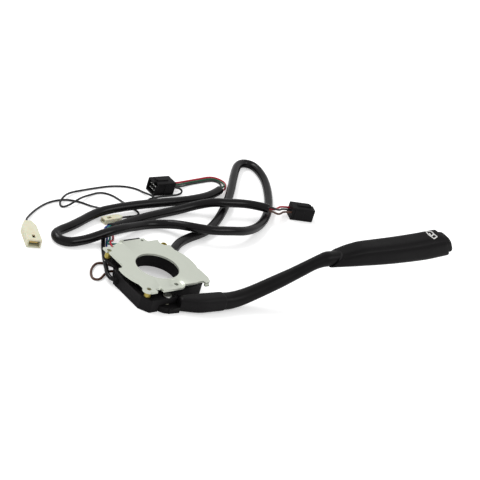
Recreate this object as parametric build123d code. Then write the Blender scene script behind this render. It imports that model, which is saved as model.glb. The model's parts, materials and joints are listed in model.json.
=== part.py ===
from build123d import *
import math
import os

# Steering-column wiper switch. The origin is on the column bore's axis, in the face plate's top face.
# +Z runs up along the column, +X along the plate's front edge, +Y to the rear. Sizes in millimetres.

# Column bore and face plate
bore_radius = 16.0
plate_thickness = 1.5
plate_side_radius = 31.2
plate_half_width = 27.0
plate_front = -24.9
plate_rear = 30.4
apron_front = -28.6
apron_left = -21.0
apron_right = 1.0
plate_hump_rear = 34.2
plate_hump_left = -15.0
plate_hump_right = 12.0
plate_edge_step = 1.2
rear_step_start = 8.0
rear_step_end = 25.0
corner_step = 0.5
hump_tab_left = 5.2
hump_tab_width = 2.4
hump_tab_height = 1.5
lug_radius = 4.2
side_notch_radius = 4.0
side_notch_reach = 3.0
side_notch_y = 8.0
apron_notch_width = 5.2
apron_notch_x = -17.2
apron_notch_depth = 3.4
dish_x = 1.2
dish_y = -22.3
dish_radius = 6.2
dish_floor_radius = 4.4
dish_depth = 1.1
dish_hole_radius = 1.6
guard_width = 3.6
guard_height = 2.2
guard_inset = 0.6
small_hole_radius = 1.1

# Zinc spacers that carry the plate on the housing
fixing_hole_radius = 1.75
spacer_radius = 2.3
spacer_height = 4.5
fixing_left_inset = 2.5
fixing_front_y = -24.0
fixing_rear_y = 26.0
fixing_right_inset = 1.4
fixing_right_y = 26.4
screw_radius = 1.5
screw_head_radius = 2.9
screw_entry = 3.0

# Housing
standing_height = 16.0
deck_thickness = 1.8
wall = 2.0
housing_margin = 2.0
housing_front = -30.5
housing_rear = 31.5
rear_hump_reach = 5.1
rear_hump_left = -12.0
rear_hump_right = 13.0
corner_cut = 5.0
rear_cut_start = 8.0
rear_cut_end = -14.0
collar_wall = 2.2
collar_depth = 10.8
fit_gap = 0.3
running_gap = 0.05
overcut = 8.0
lobe_margin = 2.5
lobe_start = 6.0
screen_left_inset = 4.0
screen_right_inset = 3.5
screen_top = -0.3
window_margin = 1.1
window_depth = 6.0
window_right = 5.4
grommet_room = 3.4
trunk_room = 0.8

# Lever pivot
pivot_x = -9.0
pivot_y = -27.0
lever_rest_angle = -6.0
lever_swing = 18.0
detent_steps = 2
pivot_pin_radius = 2.0
pivot_boss_radius = 3.5
hub_radius = 8.0
hub_height = 4.4
hub_base = 0.3

# Lever arm
lever_offset = 7.2
arm_radius = 5.0
arm_bore_radius = 3.4
root_half_width = 5.7
root_top = 11.7
root_start = 8.8
root_length = 25.0
socket_wall = 2.0
arm_low_height = 6.0
arm_dip_reach = 61.0
arm_dip_bend = 80.0
arm_rise_reach = 135.0
arm_rise_height = 39.3
arm_top_bend = 70.0
grip_slope = 2.4

# Grip and washer button, lengths along the grip's own line
grip_length = 112.0
grip_end_tilt = 8.0
button_rise = 2.4
button_step_length = 9.0
button_step_height = 8.4
button_bore_depth = 24.0
button_half_width = 6.6
button_half_height = 7.4
button_gap = 0.35
button_proud = 4.6
button_skirt = 9.0
button_travel = 3.0
button_spring_radius = 3.2
button_spring_wire = 0.5
button_spring_turns = 4

# Contacts and detent under the deck
board_thickness = 1.6
tail_angle = 131.0
tail_reach = 17.5
tail_half_angle = 13.0
contact_reach = 14.2
common_reach = 10.6
contact_radius = 1.0
contact_height = 0.7
plunger_reach = 12.4
plunger_radius = 2.2
detent_angle = 140.0
detent_notch_radius = 1.5
detent_notch_reach = 17.9
leaf_thickness = 0.4
leaf_nose = 16.95
leaf_shoulder = 18.5
leaf_end = 19.6
post_half_angle = 2.6
post_offset = 13.5

# Wiring
sleeve_radius = 3.5
bundle_radius = 1.6
loop_radius = 0.9
wire_radius = 0.8
thin_wire_radius = 0.75
connector_length = 19.0
connector_width = 12.0
connector_height = 11.0
connector_cavity = 8.0
connector_wall = 1.3
lead_plug_length = 27.0
lead_plug_width = 10.6
lead_plug_height = 6.6
small_plug_length = 17.5
small_plug_width = 5.8
small_plug_height = 4.2
boot_radius = 4.35
boot_neck_radius = 3.75
boot_start = 0.6
boot_neck_end = 4.8
boot_end = 12.6
boot_rim = 1.6
grommet_radius = 2.3
grommet_flange_start = 4.6
grommet_flange_end = 6.4
grommet_end = 10.6
sleeve_bore_radius = 2.9
sleeve_mouth = 4.3
cord_bend_share = 0.45

# Places and heights that follow from the sizes above
fixing_left_x = fixing_left_inset - plate_half_width
fixing_right_x = plate_half_width - fixing_right_inset
guard_x = plate_half_width - guard_inset
housing_left = -plate_half_width - housing_margin
housing_right = plate_half_width + housing_margin
rest = -standing_height
plate_bottom = -plate_thickness
deck_top = plate_bottom - spacer_height
deck_bottom = deck_top - deck_thickness
board_bottom = deck_bottom - board_thickness
dish_floor = -dish_depth - plate_thickness - fit_gap
hub_bottom = rest + hub_base
hub_top = hub_bottom + hub_height
detent_pitch = lever_swing / detent_steps


def slab(sketch, low, high):
    """A flat outline raised from one height to another."""
    return extrude(Location((0, 0, low)) * sketch, high - low)


def box_between(low, high):
    """A block from its lowest to its highest corner."""
    size = [high[i] - low[i] for i in range(3)]
    middle = [(high[i] + low[i]) / 2 for i in range(3)]
    return Location(middle) * Box(*size)


def rod(start, end, radius):
    """A round bar between two points."""
    start, end = Vector(*start), Vector(*end)
    plane = Plane(origin=start, z_dir=end - start)
    return extrude(plane * Circle(radius), (end - start).length)


def around_pivot(radius, angle):
    """A place round the lever's pivot, in the part's frame."""
    turn = math.radians(angle)
    return pivot_x + radius * math.cos(turn), pivot_y + radius * math.sin(turn)


def sector(inner, outer, middle, half_angle):
    """A ring sector round the lever's pivot, as a flat outline."""
    reach = outer * 1.6
    start, end = math.radians(middle - half_angle), math.radians(middle + half_angle)
    wedge = make_face(
        Polyline(
            (0, 0),
            (reach * math.cos(start), reach * math.sin(start)),
            (reach * math.cos(end), reach * math.sin(end)),
            close=True,
        )
    )
    ring = Circle(outer) - Circle(inner) if inner > 0 else Circle(outer)
    return Location((pivot_x, pivot_y)) * (ring & wedge)


fixing_points = [
    (fixing_left_x, fixing_front_y),
    (fixing_left_x, fixing_rear_y),
    (fixing_right_x, fixing_right_y),
]

# The lever is drawn along +X from its pivot at the resting surface, then turned to its rest angle
lever_place = Location((pivot_x, pivot_y, rest), (0, 0, lever_rest_angle))
grip_origin = (arm_rise_reach, -lever_offset, arm_rise_height)
grip_place = Location(grip_origin, (0, -grip_slope, 0))
button_place = grip_place * Location((grip_length, 0, button_rise))


def slot_left_of(edge, front, rear):
    """Plan of a cut that takes everything left of an edge, between two distances to the rear."""
    return Location((edge, front)) * Rectangle(plate_side_radius, rear - front, align=(Align.MAX, Align.MIN))


def plate_outline():
    """Plan of the pressed face plate, without its holes."""
    sides = Circle(plate_side_radius)
    middle = Location((0, (plate_front + plate_rear) / 2)) * Rectangle(
        2 * plate_half_width, plate_rear - plate_front
    )
    sides &= Location((0, 0)) * Rectangle(4 * plate_half_width, 2 * plate_rear - 10)
    apron = make_face(
        Polyline(
            (apron_left - 4, plate_front + 2),
            (apron_left - 4, apron_front),
            (apron_right - 2, apron_front),
            (apron_right + 3, plate_front - 2),
            (apron_right + 4, plate_front + 2),
            close=True,
        )
    )
    hump = make_face(
        Polyline(
            (plate_hump_left - 6, plate_rear - 1),
            (plate_hump_left + 5, plate_hump_rear),
            (plate_hump_right, plate_hump_rear + 0.4),
            (plate_hump_right + 1, plate_rear - 1),
            close=True,
        )
    )
    corner = make_face(
        Polyline(
            (plate_half_width - 5, -12),
            (plate_half_width - 3.4, plate_front - 1.6),
            (plate_half_width + 1.6, plate_front - 1.2),
            (plate_half_width + 3.3, -21.5),
            (plate_half_width + 3.1, -10),
            close=True,
        )
    )
    outline = sides + middle + apron + hump + corner
    outline += Location((dish_x, dish_y)) * Circle(dish_radius)
    outline += Location((fixing_left_x - 0.4, fixing_front_y)) * Circle(lug_radius)
    outline += Location((fixing_left_x + 1.6, fixing_rear_y)) * Circle(lug_radius)
    edge = plate_edge_step - plate_half_width
    notch_x = -plate_half_width - side_notch_reach
    outline -= Location((notch_x, side_notch_y)) * Circle(side_notch_radius)
    outline -= slot_left_of(edge, rear_step_start, rear_step_end)
    outline -= Location((apron_notch_x, apron_front)) * Rectangle(apron_notch_width, 2 * apron_notch_depth)
    outline -= Location((fixing_right_x + 0.4, fixing_right_y + 0.6)) * Circle(lug_radius + 0.6)
    outline -= Location((fixing_right_x - corner_step, fixing_right_y - corner_step)) * Rectangle(
        2 * overcut, 2 * overcut, align=(Align.MIN, Align.MIN)
    )
    return outline


def make_face_plate():
    """Pressed steel plate with the column bore, lugs, a dished fixing hole and a corner guard."""
    outline = plate_outline() - Circle(bore_radius)
    outline -= Location((dish_x, dish_y)) * Circle(dish_radius - 0.3)
    for x, y in fixing_points[:2]:
        outline -= Location((x, y)) * Circle(fixing_hole_radius)
    outline -= Location((fixing_left_x + 5.4, fixing_rear_y + 3.6)) * Circle(small_hole_radius)
    outline -= Location((plate_hump_right - 3, plate_hump_rear - 1.9)) * Circle(small_hole_radius)
    plate = slab(outline, plate_bottom, 0)
    rim, floor, drop = dish_radius, dish_floor_radius, dish_depth
    dish = revolve(
        Plane.XZ
        * make_face(
            Polyline(
                (dish_hole_radius, -drop - plate_thickness),
                (dish_hole_radius, -drop),
                (floor, -drop),
                (rim - 0.3, 0),
                (rim, 0),
                (rim, plate_bottom),
                (floor + 0.6, -drop - plate_thickness),
                close=True,
            )
        ),
        Axis.Z,
    )
    plate += Location((dish_x, dish_y)) * dish
    edge = plate_front - 1.4
    guard = box_between(
        (guard_x - guard_width / 2, edge, plate_bottom - guard_height),
        (guard_x + guard_width / 2, edge + 1.0, plate_bottom),
    )
    lip = box_between(
        (guard_x - guard_width / 2, edge - 0.9, plate_bottom - guard_height),
        (guard_x + guard_width / 2, edge, plate_bottom - guard_height + 0.8),
    )
    plate += guard + lip
    plate += box_between(
        (plate_hump_left + hump_tab_left, plate_hump_rear - 1.0, 0),
        (plate_hump_left + hump_tab_left + hump_tab_width, plate_hump_rear, hump_tab_height),
    )
    return plate


def housing_outline():
    """Plan of the moulded housing's outer wall, before the lever's swing room is cut."""
    rear = housing_rear + rear_hump_reach
    return make_face(
        Polyline(
            (housing_left, housing_front + corner_cut + 2),
            (housing_left + corner_cut, housing_front),
            (housing_right - 1, housing_front),
            (housing_right, housing_front + 1),
            (housing_right, housing_rear - 1.5),
            (housing_right - 1.5, housing_rear),
            (rear_hump_right, housing_rear),
            (rear_hump_right - 1, rear),
            (rear_hump_left + 3, rear),
            (rear_hump_left, housing_rear),
            (rear_cut_end, housing_rear),
            (housing_left, rear_cut_start),
            close=True,
        )
    )


def swing_room(spare):
    """Plan of the room that the lever's root sweeps, grown rearwards by a spare distance."""
    turn = math.radians(lever_rest_angle + lever_swing)
    back = lever_offset - root_half_width - 0.8 - spare
    x0, y0 = pivot_x + back * math.sin(turn), pivot_y - back * math.cos(turn)
    left = pivot_x + root_start - 1.5
    right = housing_right + overcut
    return make_face(
        Polyline(
            (left - spare, housing_front - overcut),
            (left - spare, y0 + (left - x0) * math.tan(turn)),
            (right, y0 + (right - x0) * math.tan(turn)),
            (right, housing_front - overcut),
            close=True,
        )
    )


def make_housing():
    """Black moulding: outer skirt, deck and column collar, open below, with the lever's pocket."""
    outline = housing_outline()
    inner = offset(outline, -wall, kind=Kind.INTERSECTION)
    body = slab(outline, rest, deck_top) - slab(inner, rest, deck_bottom)
    deck_lobe = make_face(
        Polyline(
            (housing_left + lobe_margin, rear_cut_start + lobe_start),
            (fixing_left_x - lobe_margin, fixing_rear_y + 1.5),
            (fixing_left_x - 0.5, fixing_rear_y + 3.5),
            (rear_cut_end + 1, housing_rear - 1),
            (rear_cut_end, rear_cut_start),
            close=True,
        )
    )
    body += slab(deck_lobe, deck_bottom, deck_top)
    rear = housing_rear + rear_hump_reach
    body += box_between(
        (rear_hump_left + screen_left_inset, rear - wall, deck_top),
        (rear_hump_right - screen_right_inset, rear, screen_top),
    )
    pocket_wall = (swing_room(1.8) - swing_room(0)) & outline
    body += slab(pocket_wall, rest + 0.4, deck_top)
    collar = Circle(bore_radius + collar_wall)
    body += slab(collar, deck_bottom, plate_bottom)
    body += slab(collar, -collar_depth, deck_bottom)
    body -= slab(Circle(bore_radius), rest, 0)
    body -= slab(swing_room(0), rest, plate_bottom)
    hub_room = Location((pivot_x, pivot_y)) * Circle(hub_radius + 0.6)
    body -= slab(hub_room, rest, hub_top + 0.3)
    pivot_boss = Location((pivot_x, pivot_y)) * Circle(pivot_boss_radius)
    body += slab(pivot_boss, hub_top + 0.3, deck_top)
    body -= slab(Location((pivot_x, pivot_y)) * Circle(pivot_pin_radius), rest, deck_top)
    body -= slab(sector(0, tail_reach + 0.7, detent_angle, 24), rest, hub_top + 0.3)
    body -= slab(sector(0, leaf_end + 1.2, detent_angle, 10), rest, hub_top + 0.3)
    for x, y in fixing_points:
        body += slab(Location((x, y)) * Circle(spacer_radius + 0.4), deck_bottom, deck_top)
        body -= slab(Location((x, y)) * Circle(screw_radius), rest, deck_top)
        body -= Location((x, y, deck_bottom + 0.6)) * Cone(
            screw_head_radius, screw_radius, 1.4, align=(Align.CENTER, Align.CENTER, Align.CENTER)
        )
    body += detent_posts() - make_detent_leaf()
    body -= boot_shape()
    body -= grommet_shape()
    body -= box_between(
        (rear_hump_left + window_margin, rear - window_depth, rest),
        (window_right, rear + overcut, board_bottom),
    )
    notch = Location((-18.9, 24.2), (0, 0, 57.4)) * Rectangle(10.5, 7)
    body -= slab(notch, rest, rest + 2.4)
    body -= slab(Location((dish_x, dish_y)) * Circle(dish_radius + fit_gap), dish_floor, plate_bottom)
    return body


def detent_posts():
    """Two posts under the deck that hold the detent leaf's ends."""
    posts = None
    for side in (-1, 1):
        block = sector(leaf_end - 1.0, leaf_end + 1.6, detent_angle + side * post_offset, post_half_angle)
        post = slab(block, hub_bottom, deck_bottom)
        posts = post if posts is None else posts + post
    return posts


def make_detent_leaf():
    """Bent spring leaf whose nose rests in the lever tail's notches."""
    places = [
        around_pivot(leaf_end, detent_angle - post_offset - 1.5),
        around_pivot(leaf_end, detent_angle - post_offset + 2.5),
        around_pivot(leaf_shoulder, detent_angle - 4.5),
        around_pivot(leaf_nose, detent_angle),
        around_pivot(leaf_shoulder, detent_angle + 4.5),
        around_pivot(leaf_end, detent_angle + post_offset - 2.5),
        around_pivot(leaf_end, detent_angle + post_offset + 1.5),
    ]
    strip = trace(Polyline(*places), line_width=leaf_thickness)
    return slab(strip, hub_bottom + 0.4, hub_top - 0.4)


def make_spacers():
    """Zinc-plated threaded spacers between the plate and the deck."""
    tubes = []
    for x, y in fixing_points:
        ring = Location((x, y)) * (Circle(spacer_radius) - Circle(screw_radius))
        tubes.append(slab(ring, deck_top, plate_bottom))
    return tubes


def make_housing_screws():
    """Countersunk screws that come up through the deck into the spacers."""
    screws = []
    for x, y in fixing_points:
        shank = slab(Circle(screw_radius - running_gap), deck_bottom, deck_top + screw_entry)
        head = Location((0, 0, deck_bottom + 0.6)) * Cone(screw_head_radius - 0.1, screw_radius, 1.2)
        slot = Location((0, 0, deck_bottom)) * Box(2 * screw_head_radius, 0.8, 1.0)
        screws.append(Location((x, y)) * (shank + head - slot))
    return screws


def make_contact_board():
    """Phenolic board under the deck, round the collar and clear of the lever."""
    outline = offset(housing_outline(), -wall - fit_gap, kind=Kind.INTERSECTION)
    outline -= Circle(bore_radius + collar_wall + fit_gap)
    outline -= swing_room(1.8 + fit_gap)
    outline -= Location((pivot_x, pivot_y)) * Circle(pivot_boss_radius + fit_gap)
    outline -= sector(leaf_end - 1.4, leaf_end + 2.0, detent_angle, post_offset + post_half_angle + 1)
    for x, y in fixing_points:
        outline -= Location((x, y)) * Circle(screw_head_radius + 0.6)
    outline -= room_round("left_bundle", grommet_flange_start, grommet_room)
    outline -= room_round("trunk_sleeve", boot_start, sleeve_radius + trunk_room)
    faces = sorted(outline.faces(), key=lambda face: face.area)
    return slab(faces[-1], board_bottom, deck_bottom)


rivet_points = [(-22.6, -3.4), (5.5, 25.5), (22.8, -1.0)]


def make_board_rivets():
    """Hollow rivets that hold the board against the deck."""
    rivets = []
    for x, y in rivet_points:
        head = slab(Circle(1.8), board_bottom - 0.6, board_bottom)
        rivets.append(Location((x, y)) * head)
    return rivets


def contact_angles():
    return [tail_angle + detent_pitch * step for step in range(detent_steps + 1)]


def make_fixed_contacts():
    """Contact rivets, one for each position of the lever."""
    studs = []
    for angle in contact_angles():
        x, y = around_pivot(contact_reach, angle)
        stud = Location((x, y)) * Circle(contact_radius)
        studs.append(slab(stud, board_bottom - contact_height, board_bottom))
    return studs


def make_common_contact():
    """Curved strip that the bridge always rests on."""
    middle = tail_angle + lever_swing / 2
    strip = sector(common_reach - 0.8, common_reach + 0.8, middle, lever_swing / 2 + 7)
    return slab(strip, board_bottom - contact_height, board_bottom)


tag_points = [
    (-21.5, 9.0),
    (-18.0, 14.0),
    (-13.0, 19.5),
    (-7.0, 23.3),
    (-0.5, 24.4),
    (12.5, 21.4),
    (17.5, 16.5),
    (22.0, 9.5),
]


def make_terminal_tags():
    """Tinned solder tags riveted under the board."""
    tags = []
    for x, y in tag_points:
        foot = box_between((-1.4, -1.4, board_bottom - 0.5), (1.4, 1.4, board_bottom))
        blade = box_between((-1.1, -0.3, board_bottom - 3.2), (1.1, 0.2, board_bottom - 0.5))
        turn = math.degrees(math.atan2(y, x))
        tags.append(Location((x, y, 0), (0, 0, turn)) * (foot + blade))
    return tags


def make_pivot_pin():
    """Headed steel pin through the deck's boss and the lever's hub."""
    shank = slab(Circle(pivot_pin_radius - running_gap / 2), rest + 0.1, deck_top)
    head = slab(Circle(pivot_pin_radius + 1.3), deck_top, deck_top + 1.0)
    groove = Circle(pivot_pin_radius) - Circle(pivot_pin_radius - 0.5)
    pin = shank + head - slab(groove, hub_bottom - 0.35, hub_bottom - 0.05)
    return Location((pivot_x, pivot_y)) * pin


def make_pivot_washer():
    """Thin washer between the boss and the hub."""
    ring = Circle(pivot_boss_radius - 0.2) - Circle(pivot_pin_radius + running_gap)
    return Location((pivot_x, pivot_y)) * slab(ring, hub_top + 0.06, hub_top + 0.3)


def make_pivot_clip():
    """Retaining clip in the pin's groove."""
    ring = Circle(pivot_pin_radius + 1.2) - Circle(pivot_pin_radius - 0.45)
    ring -= Location((pivot_pin_radius + 0.6, 0)) * Rectangle(3.6, 1.6)
    return Location((pivot_x, pivot_y)) * slab(ring, hub_bottom - 0.33, hub_bottom - 0.07)


def arm_path():
    """Centre line of the bent tube, in the lever's frame."""
    end = grip_place * Location((34.0, 0, 0))
    return FilletPolyline(
        (root_start + socket_wall, -lever_offset, arm_low_height),
        (arm_dip_reach, -lever_offset, arm_low_height - 0.2),
        (arm_rise_reach, -lever_offset, arm_rise_height),
        tuple(end.position),
        radius=[arm_dip_bend, arm_top_bend],
    )


def arm_solid(radius):
    path = arm_path()
    return sweep(Plane(path @ 0, z_dir=path % 0) * Circle(radius), path=path)


def make_lever_arm():
    """Coated steel tube, bent twice, from the root to inside the grip."""
    return lever_place * (arm_solid(arm_radius) - arm_solid(arm_bore_radius))


def make_lever_hub():
    """Moulded hub and root block that turn on the pivot and hold the tube."""
    disc = Circle(hub_radius)
    disc += Location((root_start / 2 + 1, -lever_offset + 2.4)) * Rectangle(root_start + 4, 7.2)
    low, high = hub_base, hub_base + hub_height
    hub = slab(disc, low, high)
    profile = Location((0, 0)) * RectangleRounded(2 * root_half_width, root_top - hub_base, 2.6)
    middle = (root_top + hub_base) / 2
    start = Plane(origin=(root_start, -lever_offset, middle), x_dir=(0, 1, 0), z_dir=(1, 0, 0))
    block = extrude(start * profile, root_length - 4)
    end = Plane(
        origin=(root_start + root_length - 4, -lever_offset, middle), x_dir=(0, 1, 0), z_dir=(1, 0, 0)
    )
    tip = Plane(
        origin=(root_start + root_length + 2, -lever_offset, arm_low_height), x_dir=(0, 1, 0), z_dir=(1, 0, 0)
    )
    round_end = RectangleRounded(2 * arm_radius + 0.8, 2 * arm_radius + 0.8, arm_radius - 0.6)
    block += loft([end * profile, tip * round_end])
    hub += block
    tail = Location((0, 0, 0), (0, 0, -lever_rest_angle)) * (
        Location((-pivot_x, -pivot_y)) * sector(0, tail_reach, tail_angle, tail_half_angle)
    )
    hub += slab(tail, low, high)
    hub -= arm_solid(arm_radius)
    hub -= slab(Circle(pivot_pin_radius + running_gap), low, high)
    for step in range(detent_steps + 1):
        angle = math.radians(detent_angle - lever_rest_angle - detent_pitch * step)
        notch = Location((detent_notch_reach * math.cos(angle), detent_notch_reach * math.sin(angle)))
        hub -= slab(notch * Circle(detent_notch_radius), low, high)
    angle = math.radians(tail_angle - lever_rest_angle)
    seat = Location((plunger_reach * math.cos(angle), plunger_reach * math.sin(angle)))
    hub -= slab(seat * Circle(plunger_radius + running_gap), low + 1.0, high)
    return lever_place * hub


def tail_place(radius):
    """A place on the lever's tail, in the part's frame."""
    x, y = around_pivot(radius, tail_angle)
    return Location((x, y, 0), (0, 0, tail_angle))


def make_contact_plunger():
    """Nylon plunger in the tail that presses the bridge up."""
    contact_bottom = board_bottom - contact_height
    stem = slab(Circle(plunger_radius), hub_bottom + 2.6, contact_bottom - 1.2)
    cap = slab(Circle(plunger_radius - 0.5), contact_bottom - 1.2, contact_bottom - 0.45)
    return tail_place(plunger_reach) * (stem + cap)


def make_plunger_spring():
    """Coil spring under the plunger."""
    coil = Helix(pitch=0.75, height=1.3, radius=1.4)
    section = Plane(coil @ 0, z_dir=coil % 0) * RegularPolygon(0.2, 6)
    spring = sweep(section, path=coil, is_frenet=True)
    return tail_place(plunger_reach) * Location((0, 0, hub_bottom + 1.15)) * spring


def make_bridge_contact():
    """Copper bridge from the common strip to one contact rivet."""
    top = board_bottom - contact_height - 0.02
    strip = box_between((-2.6, -0.9, top - 0.42), (2.6, 0.9, top))
    return tail_place((contact_reach + common_reach) / 2) * strip


def grip_section(along, width, height, rise, crown):
    """One cross-section of the grip: flat underside, sloped upper facets, rounded corners."""
    w, h = width / 2, height / 2
    points = [
        (-w * 0.72, -h),
        (w * 0.72, -h),
        (w, -h * 0.62),
        (w, h * crown),
        (w * 0.42, h),
        (-w * 0.42, h),
        (-w, h * crown),
        (-w, -h * 0.62),
    ]
    plane = Plane(origin=(along, 0, rise), x_dir=(0, 1, 0), z_dir=(1, 0, 0))
    return plane * make_face(FilletPolyline(*points, radius=min(w, h) * 0.14, close=True))


grip_stations = [
    (-1.5, 11.4, 13.0, -0.4, 0.30),
    (8.0, 13.8, 16.4, -0.2, 0.26),
    (24.0, 16.6, 18.6, 0.1, 0.22),
    (52.0, 18.8, 20.6, 0.8, 0.22),
    (82.0, 19.2, 21.4, 1.8, 0.30),
    (120.0, 18.6, 19.4, 3.6, 0.34),
]


def button_bore(gap, depth):
    """Room or body of the washer button along its own line, grown by a gap."""
    shape = RectangleRounded(2 * (button_half_width + gap), 2 * (button_half_height + gap), 4.6 + gap)
    plane = Plane(origin=(0, 0, 0), x_dir=(0, 1, 0), z_dir=(-1, 0, 0))
    return extrude(plane * shape, depth)


def make_grip():
    """Hollow moulded grip with a stepped, slanted end round the washer button."""
    sections = [grip_section(*station) for station in grip_stations]
    body = loft(sections)
    slant = Location((grip_length, 0, button_rise), (0, -grip_end_tilt, 0))
    body -= slant * box_between((0, -30, -40), (40, 30, 40))
    local = Location((grip_length, 0, button_rise))
    body -= local * box_between((-button_step_length, -30, button_step_height), (40, 30, 30))
    body -= local * button_bore(button_gap, button_bore_depth)
    body -= local * Location((8, 0, 0)) * button_bore(button_gap, 9.0)
    return lever_place * (grip_place * body - arm_solid(arm_radius))


def make_washer_button():
    """Push button in the grip's end, hollow behind for its spring."""
    skirt = button_bore(0, button_skirt)
    plane = Plane(origin=(0, 0, 0), x_dir=(0, 1, 0), z_dir=(1, 0, 0))
    shape = RectangleRounded(2 * button_half_width, 2 * button_half_height, 4.6)
    cap = extrude(plane * shape, button_proud)
    rim = cap.faces().sort_by(Axis.X)[-1].edges()
    cap = fillet(rim, 2.0)
    hollow = Location((-button_skirt, 0, 0)) * extrude(Plane.YZ * Circle(4.4), button_skirt - 1.5)
    return lever_place * (button_place * (cap + skirt - hollow))


def make_button_spring():
    """Return spring of the washer button."""
    length = button_skirt - 1.5 + button_travel - 2 * button_spring_wire
    coil = Helix(pitch=length / button_spring_turns, height=length, radius=button_spring_radius)
    section = Plane(coil @ 0, z_dir=coil % 0) * RegularPolygon(button_spring_wire, 6)
    spring = sweep(section, path=coil, is_frenet=True)
    seat = Location((-1.5 - button_spring_wire - 0.05 - length, 0, 0), (0, 90, 0))
    return lever_place * (button_place * (seat * spring))


def make_button_switch():
    """Switch base fixed in the grip behind the button, with two contact blades."""
    start = -button_skirt - button_travel - 0.6
    block = Location((start, 0, 0)) * button_bore(-0.1, 5.0)
    guide = Location((start, 0, 0)) * extrude(Plane.YZ * Circle(2.4), 4.0)
    return lever_place * (button_place * (block + guide))


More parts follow.
